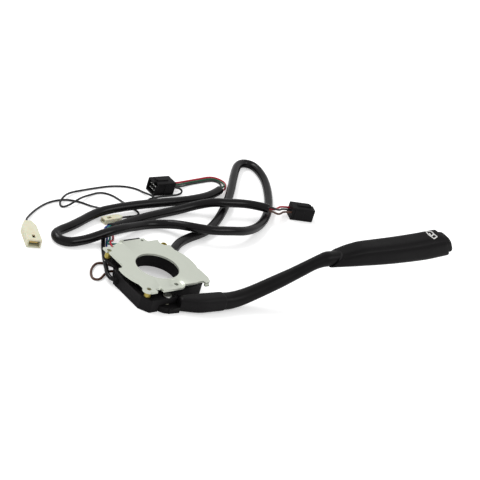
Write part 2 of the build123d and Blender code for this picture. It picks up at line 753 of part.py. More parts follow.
# Wiring routes: x, y and the centre's height above the resting surface
routes = {
    "trunk_sleeve": [
        (25, 24.2, 4.4), (38, 28.6, 4.4), (52, 39.2, 4), (67, 44.4, 3.6), (80, 47, 3.6),
        (92.5, 51.8, 3.6), (105, 59.8, 3.6), (119, 70.4, 3.6), (134, 83.2, 3.6), (150, 98.5, 3.6),
        (165, 114.5, 3.6), (177.5, 127.4, 3.6), (186, 135, 3.6), (194.2, 137.4, 3.6),
        (200.6, 132.8, 3.6), (200.3, 123.6, 3.6), (196.6, 112.5, 3.6), (191.8, 103, 3.6),
        (183.6, 90.2, 3.6), (170.5, 72.6, 3.6), (155, 57, 3.6), (137, 44.8, 4.2), (117, 36.4, 7.6),
        (99, 35, 11), (82, 38.2, 11.4), (69.4, 45.4, 11.4), (62, 56, 8.4), (54, 64.6, 4.6),
        (41.5, 67.4, 3.8), (28.5, 65, 5.2), (15.5, 61.6, 7.6), (1.5, 59.2, 7.9), (-9, 58, 6.6),
        (-18, 58.4, 4.2), (-27, 58.3, 3.6), (-34.8, 58.6, 3.6), (-40.4, 63, 3.6), (-39.9, 70.4, 3.6),
        (-33, 74.4, 3.6), (-22, 77.4, 3.6), (-10, 82, 3.6), (2, 87, 3.8), (14.5, 90.2, 5),
        (31.5, 90.8, 5.9), (51.5, 91.3, 5.9), (71, 91.2, 5.5), (92, 91.4, 4.6), (112.5, 92.8, 4),
        (129, 96.4, 3.6), (140.5, 101.6, 3.6),
    ],
    "branch_sleeve": [
        (8.5, 69.2, 3.6), (18.5, 70.8, 3.6), (31.5, 74, 3.6), (48, 77.4, 3.6), (66, 79.6, 3.6),
        (84, 81.2, 3.8), (98.5, 80, 7), (110.5, 75.4, 11.2), (123.5, 71.4, 11.4), (135.5, 68.6, 11.4),
        (146, 63.8, 11.4), (154.5, 57.4, 11.4),
    ],
    "left_bundle": [
        (-21, 0.9, 4.5), (-31, 6, 4.5), (-31.6, 13, 4.6), (-27.4, 20.6, 4.6), (-22.8, 29.8, 4.4),
        (-16.5, 39.5, 2.8), (-9.5, 50.5, 1.7), (-3.5, 59.2, 1.7), (2, 67.2, 2.1), (12.45, 69.83, 2.7),
    ],
    "brown_loop": [
        (-13.2, 22.6, 1), (-19, 30.3, 0.95), (-26, 33.6, 0.95), (-33.5, 28.8, 0.95), (-39.2, 22, 0.95),
        (-41.5, 15.6, 0.95), (-37, 13.4, 0.95), (-29.4, 18.6, 0.95), (-22.5, 22.6, 0.95),
        (-15.2, 18.4, 1),
    ],
    "red_wire": [
        (-6.7, 24.9, 4.2), (-5.5, 33, 4.6), (-7, 41, 5), (-6.2, 47.5, 5.6), (-2.2, 52.3, 4.6),
        (2.4, 55.2, 1.8), (5.8, 59.2, 0.95), (7.2, 62.6, 2.6), (6.6, 67.4, 4.8), (12.69, 68.32, 4.89),
    ],
    "teal_wire": [
        (-0.4, 26, 4.2), (2.8, 33.8, 4.6), (5.4, 41.5, 4.4), (4, 48.4, 3.2), (-1.5, 50.6, 2.6),
        (-5.4, 51.2, 2.8), (-3.2, 54, 2.8), (0.7, 56.8, 2), (3.7, 60.6, 1.6), (4.1, 64.8, 4.6),
        (5.44, 68.73, 5.6), (12.45, 69.83, 5.6),
    ],
    "blue_wire": [
        (-12.4, 21.2, 4.2), (-9.2, 27.5, 4.4), (-8.2, 34, 4.6), (-9.4, 41, 3), (-8, 46.8, 0.9),
        (-5, 52.4, 0.85), (-1.3, 57.4, 0.85), (1.2, 61, 3), (1.6, 65.8, 5.3), (4.6, 70.1, 4.8),
        (12.21, 71.34, 4.89),
    ],
    "tail_black": [
        (136.28, 101.23, 2.7), (142.66, 104.11, 2.7), (148, 108.6, 2), (152.3, 115, 0.9),
        (148.5, 120.4, 0.9), (136, 119.6, 0.9), (121, 118.4, 0.9), (108, 114.2, 2.2),
        (95.5, 112.6, 5.5),
    ],
    "tail_green": [
        (136.86, 99.95, 5.1), (143.23, 102.84, 5.1), (150, 106.8, 3.6), (155.4, 115.4, 0.9),
        (150.4, 123.2, 0.9), (136, 122, 0.9), (120.8, 120.8, 0.9), (108, 117, 2.4), (95.5, 115.2, 5.5),
    ],
    "tail_red": [
        (137.43, 98.68, 2.7), (143.81, 101.56, 2.7), (150.4, 105.4, 1.6), (158.4, 116, 0.9),
        (152, 126, 0.9), (136, 124.4, 0.9), (120.4, 123.2, 0.9), (108, 119.8, 2.6), (95.5, 117.8, 5.5),
    ],
    "feed_red": [
        (152.15, 60.92, 10.5), (157.74, 56.71, 10.5), (163.6, 58.2, 8.8), (170.2, 62.4, 7),
        (177.2, 65.2, 6.1), (185.7, 61.5, 6),
    ],
    "feed_black": [
        (151.3, 59.81, 12.9), (156.9, 55.6, 12.9), (163.4, 55.6, 10.2), (169.6, 58.8, 7.4),
        (175.6, 61.9, 6.1), (184.1, 58, 6),
    ],
    "feed_brown": [
        (150.46, 58.69, 10.5), (156.05, 54.48, 10.5), (162.4, 53, 7.6), (168.4, 55.4, 6.2),
        (174, 58.2, 6), (182.5, 54.4, 6),
    ],
    "lead_one": [
        (18.8, 92, 5.3), (17.5, 98.5, 2.6), (14.9, 104.7, 0.9), (8.9, 112.3, 0.9), (-1.7, 117.3, 0.9),
        (-16.4, 115.7, 0.9), (-31.6, 108.4, 0.9), (-43.5, 99.8, 1.6), (-51.2, 92.4, 3.4),
        (-54.1, 84.4, 3.5),
    ],
    "lead_two": [
        (72, 93, 5.5), (73.2, 99, 4.4), (73.6, 106, 3.2), (72.6, 113.5, 1.2), (70.2, 120, 0.9),
        (62.5, 125.6, 0.9), (49.4, 128.1, 0.9), (36, 127.6, 0.9), (22, 126.6, 0.9), (8, 123.8, 1.8),
        (-1.4, 117.8, 3.3), (-8.6, 112.2, 1.8), (-9.8, 107.4, 0.9), (-4.6, 107.2, 1.2),
        (3.6, 109.6, 2.9), (12, 113.6, 3.1), (23.5, 118.9, 0.9), (35.5, 121.4, 0.9), (42.8, 115.8, 0.9),
        (45.4, 106, 0.9), (47.5, 96, 0.9), (50.2, 88.6, 0.9), (46, 83.8, 1), (36.5, 83.06, 2),
        (25, 82.46, 2.1),
    ],
    "lead_three": [
        (64, 93, 5.6), (65.5, 99, 3.2), (71.5, 104.4, 0.9), (81.5, 106, 0.9), (93, 105.6, 0.9),
        (102.4, 105.6, 0.9), (107.6, 108.2, 2), (104.2, 110.9, 4.4), (95.5, 109.9, 5.5),
    ],
}


def route_radius(name):
    """Outer radius of one cord."""
    if name in ("trunk_sleeve", "branch_sleeve"):
        return sleeve_radius
    if name == "left_bundle":
        return bundle_radius
    if name == "brown_loop":
        return loop_radius
    return thin_wire_radius if name.endswith("_wire") else wire_radius


def cord_bends(places):
    """Radius of the arc at each inner point of a cord, as large as its two runs allow."""
    bends = []
    for before, here, after in zip(places, places[1:], places[2:]):
        run_in, run_out = here - before, after - here
        half_turn = math.radians(run_in.get_angle(run_out)) / 2
        bends.append(cord_bend_share * min(run_in.length, run_out.length) / math.tan(half_turn))
    return bends


def cord_path(points):
    """Straight runs joined by tangent arcs, in the part's frame."""
    places = [Vector(x, y, height + rest) for x, y, height in points]
    return FilletPolyline(*places, radius=cord_bends(places))


def cord_solid(name):
    """One cord as a solid round its route."""
    path = cord_path(routes[name])
    return sweep(Plane(path @ 0, z_dir=path % 0) * Circle(route_radius(name)), path=path)


def sleeve_mouth_bore(first, second):
    """Open mouth of a sleeve, from its end inwards."""
    start = Vector(first[0], first[1], first[2] + rest)
    inward = (Vector(second[0], second[1], second[2] + rest) - start).normalized()
    return rod(start - inward, start + inward * sleeve_mouth, sleeve_bore_radius)


def make_trunk_sleeve():
    """Main sleeve from the boot to the first connector's wires, with three break-outs."""
    points = routes["trunk_sleeve"]
    sleeve = cord_solid("trunk_sleeve")
    sleeve -= sleeve_mouth_bore(points[0], points[1])
    sleeve -= sleeve_mouth_bore(points[-1], points[-2])
    for name in ("lead_one", "lead_two", "lead_three"):
        start, after = routes[name][:2]
        sleeve -= rod((*start[:2], start[2] + rest), (*after[:2], after[2] + rest), wire_radius)
    return sleeve


def make_branch_sleeve():
    """Second sleeve, with open mouths where its wires enter and leave."""
    points = routes["branch_sleeve"]
    sleeve = cord_solid("branch_sleeve")
    sleeve -= sleeve_mouth_bore(points[0], points[1])
    sleeve -= sleeve_mouth_bore(points[-1], points[-2])
    return sleeve


def along_route(name, near, far):
    """Two places on a cord's first run, at distances from its start."""
    first, second = routes[name][:2]
    start = Vector(first[0], first[1], first[2] + rest)
    ahead = (Vector(second[0], second[1], second[2] + rest) - start).normalized()
    return tuple(start + ahead * near), tuple(start + ahead * far)


def room_round(name, near, radius):
    """Plan of the room round a cord, at a distance from its start."""
    place = along_route(name, near, near)[0]
    return Location((place[0], place[1])) * Circle(radius)


def boot_shape():
    """Rubber boot round the trunk where it passes the right wall."""
    neck = rod(*along_route("trunk_sleeve", boot_start, boot_neck_end), boot_neck_radius)
    body = rod(*along_route("trunk_sleeve", boot_neck_end - 0.1, boot_end - boot_rim), boot_radius)
    rim = rod(*along_route("trunk_sleeve", boot_end - boot_rim, boot_end), boot_radius - 0.5)
    return neck + body + rim


def make_cable_boot():
    return boot_shape() - rod(*along_route("trunk_sleeve", 0, boot_end + 0.8), sleeve_radius)


def grommet_shape():
    """Grommet round the left bundle in the left wall."""
    flange = rod(*along_route("left_bundle", grommet_flange_start, grommet_flange_end), grommet_radius + 0.5)
    return flange + rod(*along_route("left_bundle", grommet_flange_end - 0.1, grommet_end), grommet_radius)


def make_bundle_grommet():
    return grommet_shape() - cord_solid("left_bundle")


# Short wires from the solder tags into the cords
inner_routes = [
    [(27.2, 24.0, 3.4), (23.6, 22.9, 3.2), (20.6, 20.4, 3.0), (18.6, 17.8, 3.6)],
    [(27.6, 24.2, 5.4), (24.2, 20.4, 4.8), (23.6, 15.4, 3.8), (22.9, 10.9, 3.8)],
    [(26.4, 25.4, 3.6), (21.6, 24.6, 3.2), (17.4, 24.2, 3.2), (13.6, 22.6, 3.8)],
]


def make_inner_wires():
    """Wires between the tags and the trunk's mouth, under the board."""
    wires = []
    for points in inner_routes:
        path = cord_path(points)
        wires.append(sweep(Plane(path @ 0, z_dir=path % 0) * Circle(0.6), path=path))
    return wires


# Connectors: middle of the footprint and heading of the end where the wires enter
connector_one_place = Location((88.5, 114.0, rest), (0, 0, -3.0))
connector_two_place = Location((190.3, 55.2, rest), (0, 0, 155.5))
lead_plug_place = Location((-57.5, 75.0, rest), (0, 0, 70.0))
small_plug_place = Location((20.0, 82.2, rest), (0, 0, 3.0))


def connector_shell(length, width, height):
    """Moulded shell with an open mating end, a latch and a stepped rim; wires enter at +X."""
    shell = Location((0, 0, height / 2)) * Box(length, width, height)
    shell = fillet(shell.edges().filter_by(Axis.X), 0.8)
    mouth = -length / 2
    inner = (width - 2 * connector_wall, height - 2 * connector_wall)
    shell -= Location((mouth + connector_cavity / 2, 0, height / 2)) * Box(connector_cavity, *inner)
    shell -= box_between((mouth, -width / 2, height - 3.2), (mouth + 2.2, -width / 6, height))
    latch = box_between((mouth + 2.5, -1.6, height), (length / 2 - 5, 1.6, height + 0.9))
    catch = box_between((mouth + 2.5, -1.6, height + 0.9), (mouth + 4.0, 1.6, height + 1.5))
    shell += latch + catch
    for side in (-1, 1):
        rib = (-length / 2 + 9, side * width / 2, 1.6)
        shell += box_between(
            (rib[0], min(rib[1], rib[1] + side * 0.5), 1.6),
            (length / 2 - 2, max(rib[1], rib[1] + side * 0.5), height - 1.6),
        )
    return shell


def connector_pins(place):
    """Two rows of blades inside a connector's mating end."""
    mouth = -connector_length / 2
    pins = []
    for side in (-3.0, 0.0, 3.0):
        for level in (3.6, 7.4):
            blade = box_between(
                (mouth + 1.6, side - 0.9, level - 0.3), (mouth + connector_cavity, side + 0.9, level + 0.3)
            )
            pins.append(place * blade)
    return pins


def make_connector_one():
    shell = connector_one_place * connector_shell(connector_length, connector_width, connector_height)
    for name in ("tail_black", "tail_green", "tail_red", "lead_three"):
        shell -= cord_solid(name)
    return shell


def make_connector_two():
    shell = connector_two_place * connector_shell(connector_length, connector_width, connector_height)
    for name in ("feed_red", "feed_black", "feed_brown"):
        shell -= cord_solid(name)
    return shell


def plug_shell(length, width, height):
    """Single-way nylon plug: tapered where the wire enters at +X, open at the other end."""
    taper = length * 0.22
    outline = make_face(
        Polyline(
            (-length / 2, -width / 2),
            (length / 2 - taper, -width / 2),
            (length / 2, -width / 4),
            (length / 2, width / 4),
            (length / 2 - taper, width / 2),
            (-length / 2, width / 2),
            close=True,
        )
    )
    shell = slab(outline, 0, height)
    shell = fillet(shell.edges().filter_by(Axis.Z), 0.5)
    shell = fillet(shell.faces().sort_by(Axis.Z)[-1].edges(), 0.4)
    cavity = (width - 2.4, height - 2.2)
    shell -= Location((-length / 4, 0, height / 2)) * Box(length / 2 + 2, *cavity)
    slot = box_between((-length / 2 + 3.5, -1.1, height / 2), (-length / 2 + 7.5, 1.1, height + 1))
    return shell - slot


def plug_terminal(length, width, height):
    """Brass blade terminal inside a single-way plug."""
    wide = min(width - 3.0, 6.3)
    blade = box_between((-length / 2 + 2.4, -wide / 2, height / 2 - 0.4), (-1.4, wide / 2, height / 2 + 0.4))
    start, top = -length / 2 + 4.2, height / 2 + 0.4
    barb = box_between((start, -0.8, top), (start + 2.6, 0.8, top + 0.5))
    return blade + barb


def make_lead_plug():
    shell = plug_shell(lead_plug_length, lead_plug_width, lead_plug_height)
    return lead_plug_place * shell - cord_solid("lead_one")


def make_lead_terminal():
    return lead_plug_place * plug_terminal(lead_plug_length, lead_plug_width, lead_plug_height)


def make_small_plug():
    shell = plug_shell(small_plug_length, small_plug_width, small_plug_height)
    return small_plug_place * shell - cord_solid("lead_two")


def make_small_terminal():
    return small_plug_place * plug_terminal(small_plug_length, small_plug_width, small_plug_height)


node_makers = {
    "face_plate": make_face_plate,
    "housing": make_housing,
    "plate_spacers": make_spacers,
    "housing_screws": make_housing_screws,
    "contact_board": make_contact_board,
    "board_rivets": make_board_rivets,
    "fixed_contacts": make_fixed_contacts,
    "common_contact": make_common_contact,
    "terminal_tags": make_terminal_tags,
    "pivot_pin": make_pivot_pin,
    "pivot_washer": make_pivot_washer,
    "pivot_clip": make_pivot_clip,
    "detent_leaf": make_detent_leaf,
    "lever_hub": make_lever_hub,
    "lever_arm": make_lever_arm,
    "contact_plunger": make_contact_plunger,
    "plunger_spring": make_plunger_spring,
    "bridge_contact": make_bridge_contact,
    "grip": make_grip,
    "washer_button": make_washer_button,
    "button_spring": make_button_spring,
    "button_switch": make_button_switch,
    "cable_boot": make_cable_boot,
    "bundle_grommet": make_bundle_grommet,
    "inner_wires": make_inner_wires,
    "trunk_sleeve": make_trunk_sleeve,
    "branch_sleeve": make_branch_sleeve,
    "connector_one": make_connector_one,
    "connector_two": make_connector_two,
    "pins_one": lambda: connector_pins(connector_one_place),
    "pins_two": lambda: connector_pins(connector_two_place),
    "lead_plug": make_lead_plug,
    "lead_terminal": make_lead_terminal,
    "small_plug": make_small_plug,
    "small_terminal": make_small_terminal,
}
for cord_name in routes:
    if cord_name not in node_makers:
        node_makers[cord_name] = lambda name=cord_name: cord_solid(name)


def write_parts():
    os.makedirs("parts", exist_ok=True)
    for name, maker in node_makers.items():
        made = maker()
        solids = made if isinstance(made, list) else [made]
        pieces = [solid for shape in solids for solid in shape.solids()]
        export_step(Compound(children=pieces), f"parts/{name}.step")
        print(name, len(pieces), round(sum(piece.volume for piece in pieces), 1))


def print_cords():
    """Each cord's length, its smallest radius, and its section times its length."""
    for name, points in routes.items():
        length = cord_path(points).length
        smallest = min(cord_bends([Vector(*point) for point in points]))
        swept = math.pi * route_radius(name) ** 2 * length
        print(f"{name}: {length:.1f} mm, radius from {smallest:.1f} mm, section times length {swept:.0f}")


write_parts()
print_cords()
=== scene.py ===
"""Finishes, wiring loom, small hardware, light and camera for a steering-column wiper switch."""

import json
import math

import bmesh
import bpy
from bpy.props import FloatProperty, FloatVectorProperty, IntProperty, PointerProperty
from bpy.types import Operator, Panel, PropertyGroup
from mathutils import Matrix, Vector
from mathutils.bvhtree import BVHTree


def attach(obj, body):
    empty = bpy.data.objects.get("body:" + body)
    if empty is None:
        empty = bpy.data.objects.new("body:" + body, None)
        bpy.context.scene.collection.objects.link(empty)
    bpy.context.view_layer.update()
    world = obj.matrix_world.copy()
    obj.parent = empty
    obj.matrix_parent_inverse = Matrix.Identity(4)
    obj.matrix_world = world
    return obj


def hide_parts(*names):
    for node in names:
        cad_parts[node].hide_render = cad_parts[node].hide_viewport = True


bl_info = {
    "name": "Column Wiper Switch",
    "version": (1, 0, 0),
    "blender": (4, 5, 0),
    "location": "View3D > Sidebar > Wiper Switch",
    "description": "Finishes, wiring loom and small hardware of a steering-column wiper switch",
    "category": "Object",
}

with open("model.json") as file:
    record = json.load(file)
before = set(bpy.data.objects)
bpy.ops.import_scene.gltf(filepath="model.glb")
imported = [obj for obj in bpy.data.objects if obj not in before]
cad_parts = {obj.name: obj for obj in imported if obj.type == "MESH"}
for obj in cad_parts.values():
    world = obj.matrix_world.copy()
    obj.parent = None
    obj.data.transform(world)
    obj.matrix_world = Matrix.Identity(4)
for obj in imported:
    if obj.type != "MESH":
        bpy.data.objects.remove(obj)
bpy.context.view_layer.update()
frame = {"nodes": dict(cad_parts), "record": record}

# The row frame: origin on the column bore in the plate's face, metres, resting surface below it
MM = 0.001
WELD = 0.002 * MM
REST = -0.016
UP = Vector((0, 0, 1))

# Places of the lever and its grip, as the solids have them
PIVOT = Vector((-0.009, -0.027, REST))
LEVER_REST_ANGLE = math.radians(-6)
LEVER_OFFSET = 0.0072
GRIP_START = Vector((0.135, -LEVER_OFFSET, 0.0393))
GRIP_SLOPE = math.radians(2.4)

# Root of the lever: place along it, across it and up, then width, height and squareness, in millimetres
ROOT_SECTIONS = [
    (8.0, -4.6, 5.4, 6.8, 9.0, 4.0), (9.2, -4.7, 5.9, 7.6, 10.4, 4.0), (12.5, -5.2, 6.0, 8.6, 10.9, 4.0),
    (17.0, -6.0, 6.0, 10.2, 11.3, 3.8), (22.0, -6.8, 6.1, 11.4, 11.6, 3.8),
    (27.0, -7.2, 6.2, 12.0, 11.8, 3.6), (35.0, -7.2, 6.2, 12.1, 11.8, 3.4),
    (42.6, -7.2, 6.2, 12.1, 11.8, 3.2), (43.6, -7.2, 6.2, 11.4, 11.1, 3.0),
]

# Dipped tube: place along the lever and up, then width, height and squareness, in millimetres
ARM_SECTIONS = [
    (32.0, 6.1, 11.0, 10.8, 3.0), (42.0, 6.1, 11.5, 11.2, 2.8), (50.5, 6.2, 11.5, 11.4, 2.5),
    (60.0, 8.1, 11.2, 11.2, 2.2), (70.0, 11.6, 11.0, 11.0, 2.0), (80.0, 15.7, 10.8, 10.8, 2.0),
    (90.0, 20.0, 10.5, 10.5, 2.0), (100.0, 24.6, 9.8, 9.8, 2.0), (108.0, 28.5, 9.5, 9.5, 2.0),
    (116.0, 32.4, 9.3, 9.3, 2.0), (122.0, 34.6, 10.0, 10.1, 2.0), (127.0, 35.8, 10.9, 10.8, 2.2),
    (132.0, 36.3, 10.6, 9.8, 2.4), (142.0, 37.2, 9.0, 8.6, 2.4),
]

# Grip: place along its line, width, height, rise of its middle and slant of the section, in millimetres
GRIP_SECTIONS = [
    (-2.2, 12.2, 9.9, -2.8, 0.92), (-1.4, 13.0, 10.7, -2.7, 0.90), (1.5, 13.9, 11.3, -2.5, 0.80),
    (8.0, 15.6, 12.6, -2.0, 0.50), (16.0, 16.9, 14.1, -1.7, 0.20), (24.0, 17.8, 15.2, -1.5, 0.0),
    (38.0, 18.6, 16.0, -1.8, 0.0), (52.0, 19.0, 16.6, -2.0, 0.0), (67.0, 19.2, 17.3, -1.9, -0.10),
    (82.0, 19.2, 17.9, -1.5, -0.28), (94.0, 19.0, 17.7, -0.6, -0.48), (101.3, 18.8, 17.3, 0.0, -0.58),
    (102.0, 18.0, 16.5, 0.1, -0.59),
]

# Corners of the grip's section, as shares of its width and height
GRIP_CORNERS = [
    (-0.36, -0.5), (0.36, -0.5), (0.5, -0.31), (0.5, 0.2), (0.44, 0.37), (0.27, 0.5),
    (-0.27, 0.5), (-0.44, 0.37), (-0.5, 0.2), (-0.5, -0.31),
]

# Cords as route points in millimetres, height counted from the resting surface
ROUTES = {
    "trunk_sleeve": [
        (25, 24.2, 4.4), (38, 28.6, 4.4), (52, 39.2, 4), (67, 44.4, 3.6), (80, 47, 3.6), (92.5, 51.8, 3.6),
        (105, 59.8, 3.6), (119, 70.4, 3.6), (134, 83.2, 3.6), (150, 98.5, 3.6), (165, 114.5, 3.6),
        (177.5, 127.4, 3.6), (186, 135, 3.6), (194.2, 137.4, 3.6), (200.6, 132.8, 3.6), (200.3, 123.6, 3.6),
        (196.6, 112.5, 3.6), (191.8, 103, 3.6), (183.6, 90.2, 3.6), (170.5, 72.6, 3.6), (155, 57, 3.6),
        (137, 44.8, 4.2), (117, 36.4, 7.6), (99, 35, 11), (82, 38.2, 11.4), (69.4, 45.4, 11.4),
        (62, 56, 8.4), (54, 64.6, 4.6), (41.5, 67.4, 3.8), (28.5, 65, 5.2), (15.5, 61.6, 7.6),
        (1.5, 59.2, 7.9), (-9, 58, 6.6), (-18, 58.4, 4.2), (-27, 58.3, 3.6), (-34.8, 58.6, 3.6),
        (-40.4, 63, 3.6), (-39.9, 70.4, 3.6), (-33, 74.4, 3.6), (-22, 77.4, 3.6), (-10, 82, 3.6),
        (2, 87, 3.8), (14.5, 90.2, 5), (31.5, 90.8, 5.9), (51.5, 91.3, 5.9), (71, 91.2, 5.5),
        (92, 91.4, 4.6), (112.5, 92.8, 4), (129, 96.4, 3.6), (140.5, 101.6, 3.6),
    ],
    "branch_sleeve": [
        (8.5, 69.2, 3.6), (18.5, 70.8, 3.6), (31.5, 74, 3.6), (48, 77.4, 3.6), (66, 79.6, 3.6),
        (84, 81.2, 3.8), (98.5, 80, 7), (110.5, 75.4, 11.2), (123.5, 71.4, 11.4), (135.5, 68.6, 11.4),
        (146, 63.8, 11.4), (154.5, 57.4, 11.4),
    ],
    "left_bundle": [
        (-21, 0.9, 4.5), (-31, 6, 4.5), (-31.6, 13, 4.6), (-27.4, 20.6, 4.6), (-22.8, 29.8, 4.4),
        (-16.5, 39.5, 2.8), (-9.5, 50.5, 1.7), (-3.5, 59.2, 1.7), (2, 67.2, 2.1), (12.45, 69.83, 2.7),
    ],
    "brown_loop": [
        (-13.2, 22.6, 1), (-19, 30.3, 0.95), (-26, 33.6, 0.95), (-33.5, 28.8, 0.95), (-39.2, 22, 0.95),
        (-41.5, 15.6, 0.95), (-37, 13.4, 0.95), (-29.4, 18.6, 0.95), (-22.5, 22.6, 0.95), (-15.2, 18.4, 1),
    ],
    "red_wire": [
        (-6.7, 24.9, 4.2), (-5.5, 33, 4.6), (-7, 41, 5), (-6.2, 47.5, 5.6), (-2.2, 52.3, 4.6),
        (2.4, 55.2, 1.8), (5.8, 59.2, 0.95), (7.2, 62.6, 2.6), (6.6, 67.4, 4.8), (12.69, 68.32, 4.89),
    ],
    "teal_wire": [
        (-0.4, 26, 4.2), (2.8, 33.8, 4.6), (5.4, 41.5, 4.4), (4, 48.4, 3.2), (-1.5, 50.6, 2.6),
        (-5.4, 51.2, 2.8), (-3.2, 54, 2.8), (0.7, 56.8, 2), (3.7, 60.6, 1.6), (4.1, 64.8, 4.6),
        (5.44, 68.73, 5.6), (12.45, 69.83, 5.6),
    ],
    "blue_wire": [
        (-12.4, 21.2, 4.2), (-9.2, 27.5, 4.4), (-8.2, 34, 4.6), (-9.4, 41, 3), (-8, 46.8, 0.9),
        (-5, 52.4, 0.85), (-1.3, 57.4, 0.85), (1.2, 61, 3), (1.6, 65.8, 5.3), (4.6, 70.1, 4.8),
        (12.21, 71.34, 4.89),
    ],
    "tail_black": [
        (136.28, 101.23, 2.7), (142.66, 104.11, 2.7), (148, 108.6, 2), (152.3, 115, 0.9),
        (148.5, 120.4, 0.9), (136, 119.6, 0.9), (121, 118.4, 0.9), (108, 114.2, 2.2), (95.5, 112.6, 5.5),
    ],
    "tail_green": [
        (136.86, 99.95, 5.1), (143.23, 102.84, 5.1), (150, 106.8, 3.6), (155.4, 115.4, 0.9),
        (150.4, 123.2, 0.9), (136, 122, 0.9), (120.8, 120.8, 0.9), (108, 117, 2.4), (95.5, 115.2, 5.5),
    ],
    "tail_red": [
        (137.43, 98.68, 2.7), (143.81, 101.56, 2.7), (150.4, 105.4, 1.6), (158.4, 116, 0.9),
        (152, 126, 0.9), (136, 124.4, 0.9), (120.4, 123.2, 0.9), (108, 119.8, 2.6), (95.5, 117.8, 5.5),
    ],
    "feed_red": [
        (152.15, 60.92, 10.5), (157.74, 56.71, 10.5), (163.6, 58.2, 8.8), (170.2, 62.4, 7),
        (177.2, 65.2, 6.1), (185.7, 61.5, 6),
    ],
    "feed_black": [
        (151.3, 59.81, 12.9), (156.9, 55.6, 12.9), (163.4, 55.6, 10.2), (169.6, 58.8, 7.4),
        (175.6, 61.9, 6.1), (184.1, 58, 6),
    ],
    "feed_brown": [
        (150.46, 58.69, 10.5), (156.05, 54.48, 10.5), (162.4, 53, 7.6), (168.4, 55.4, 6.2), (174, 58.2, 6),
        (182.5, 54.4, 6),
    ],
    "lead_one": [
        (18.8, 92, 5.3), (17.5, 98.5, 2.6), (14.9, 104.7, 0.9), (8.9, 112.3, 0.9), (-1.7, 117.3, 0.9),
        (-16.4, 115.7, 0.9), (-31.6, 108.4, 0.9), (-43.5, 99.8, 1.6), (-51.2, 92.4, 3.4),
        (-54.1, 84.4, 3.5),
    ],
    "lead_two": [
        (72, 93, 5.5), (73.2, 99, 4.4), (73.6, 106, 3.2), (72.6, 113.5, 1.2), (70.2, 120, 0.9),
        (62.5, 125.6, 0.9), (49.4, 128.1, 0.9), (36, 127.6, 0.9), (22, 126.6, 0.9), (8, 123.8, 1.8),
        (-1.4, 117.8, 3.3), (-8.6, 112.2, 1.8), (-9.8, 107.4, 0.9), (-4.6, 107.2, 1.2), (3.6, 109.6, 2.9),
        (12, 113.6, 3.1), (23.5, 118.9, 0.9), (35.5, 121.4, 0.9), (42.8, 115.8, 0.9), (45.4, 106, 0.9),
        (47.5, 96, 0.9), (50.2, 88.6, 0.9), (46, 83.8, 1), (36.5, 83.06, 2), (25, 82.46, 2.1),
    ],
    "lead_three": [
        (64, 93, 5.6), (65.5, 99, 3.2), (71.5, 104.4, 0.9), (81.5, 106, 0.9), (93, 105.6, 0.9),
        (102.4, 105.6, 0.9), (107.6, 108.2, 2), (104.2, 110.9, 4.4), (95.5, 109.9, 5.5),
    ],
}

# Radius, real length, finish and far end of each cord, and the piece that it carries
SLEEVE, BUNDLE, LOOP, WIRE, THIN = 0.0035, 0.0016, 0.0009, 0.0008, 0.00075
CORDS = {
    "left_bundle": (BUNDLE, 0.0917, "black_sleeve", "object", ()),
    "brown_loop": (LOOP, 0.0695, "brown_insulation", "object", ()),
    "red_wire": (THIN, 0.054, "red_insulation", "object", ()),
    "teal_wire": (THIN, 0.0605, "teal_insulation", "object", ()),
    "blue_wire": (THIN, 0.062, "blue_insulation", "object", ()),
    "tail_black": (WIRE, 0.081, "black_insulation", "connector", ("connector_one",)),
    "tail_green": (WIRE, 0.0885, "green_insulation", "connector", ("connector_one",)),
    "tail_red": (WIRE, 0.0949, "red_insulation", "connector", ("connector_one",)),
    "feed_red": (WIRE, 0.037, "red_insulation", "connector", ("connector_two",)),
    "feed_black": (WIRE, 0.0367, "black_insulation", "connector", ("connector_two",)),
    "feed_brown": (WIRE, 0.0354, "brown_insulation", "connector", ("connector_two",)),
    "lead_one": (WIRE, 0.100, "black_insulation", "plug", ("lead_plug",)),
    "lead_two": (WIRE, 0.227, "black_insulation", "plug", ("small_plug",)),
    "lead_three": (WIRE, 0.0635, "black_insulation", "connector", ("connector_one",)),
}

# The blades in each connector and plug
BLADES = {
    "connector_one": "pins_one", "connector_two": "pins_two",
    "lead_plug": "lead_terminal", "small_plug": "small_terminal",
}

# Radius and real length of the soft sleeves
SLEEVES = {
    "trunk_sleeve": (SLEEVE, 0.712),
    "branch_sleeve": (SLEEVE, 0.1527),
}

# Colours of the wires' insulation, and of the small metal parts with their roughness
INSULATION = {
    "black_insulation": (0.008, 0.008, 0.009),
    "brown_insulation": (0.085, 0.030, 0.014),
    "red_insulation": (0.48, 0.012, 0.035),
    "teal_insulation": (0.012, 0.22, 0.19),
    "blue_insulation": (0.030, 0.055, 0.30),
    "green_insulation": (0.010, 0.085, 0.040),
    "inner_insulation": (0.30, 0.05, 0.03),
}
METALS = {
    "bright_steel": ((0.55, 0.55, 0.53), 0.30),
    "spring_steel": ((0.33, 0.33, 0.34), 0.28),
    "brass": ((0.70, 0.50, 0.17), 0.28),
    "copper": ((0.68, 0.28, 0.13), 0.30),
    "silver_contact": ((0.80, 0.79, 0.76), 0.24),
    "tinned_tag": ((0.62, 0.62, 0.60), 0.32),
}


def length(name, about, default, low, high):
    """A length that the panel shows, in metres."""
    return FloatProperty(name=name, description=about, default=default, min=low, max=high, unit="LENGTH")


def tint(name, about, default):
    """A colour that the panel shows."""
    return FloatVectorProperty(
        name=name, description=about, default=default, size=3, subtype="COLOR", min=0, max=1,
    )


def degrees(name, about, default):
    """An angle that the panel shows."""
    return FloatProperty(name=name, description=about, default=math.radians(default), subtype="ANGLE")


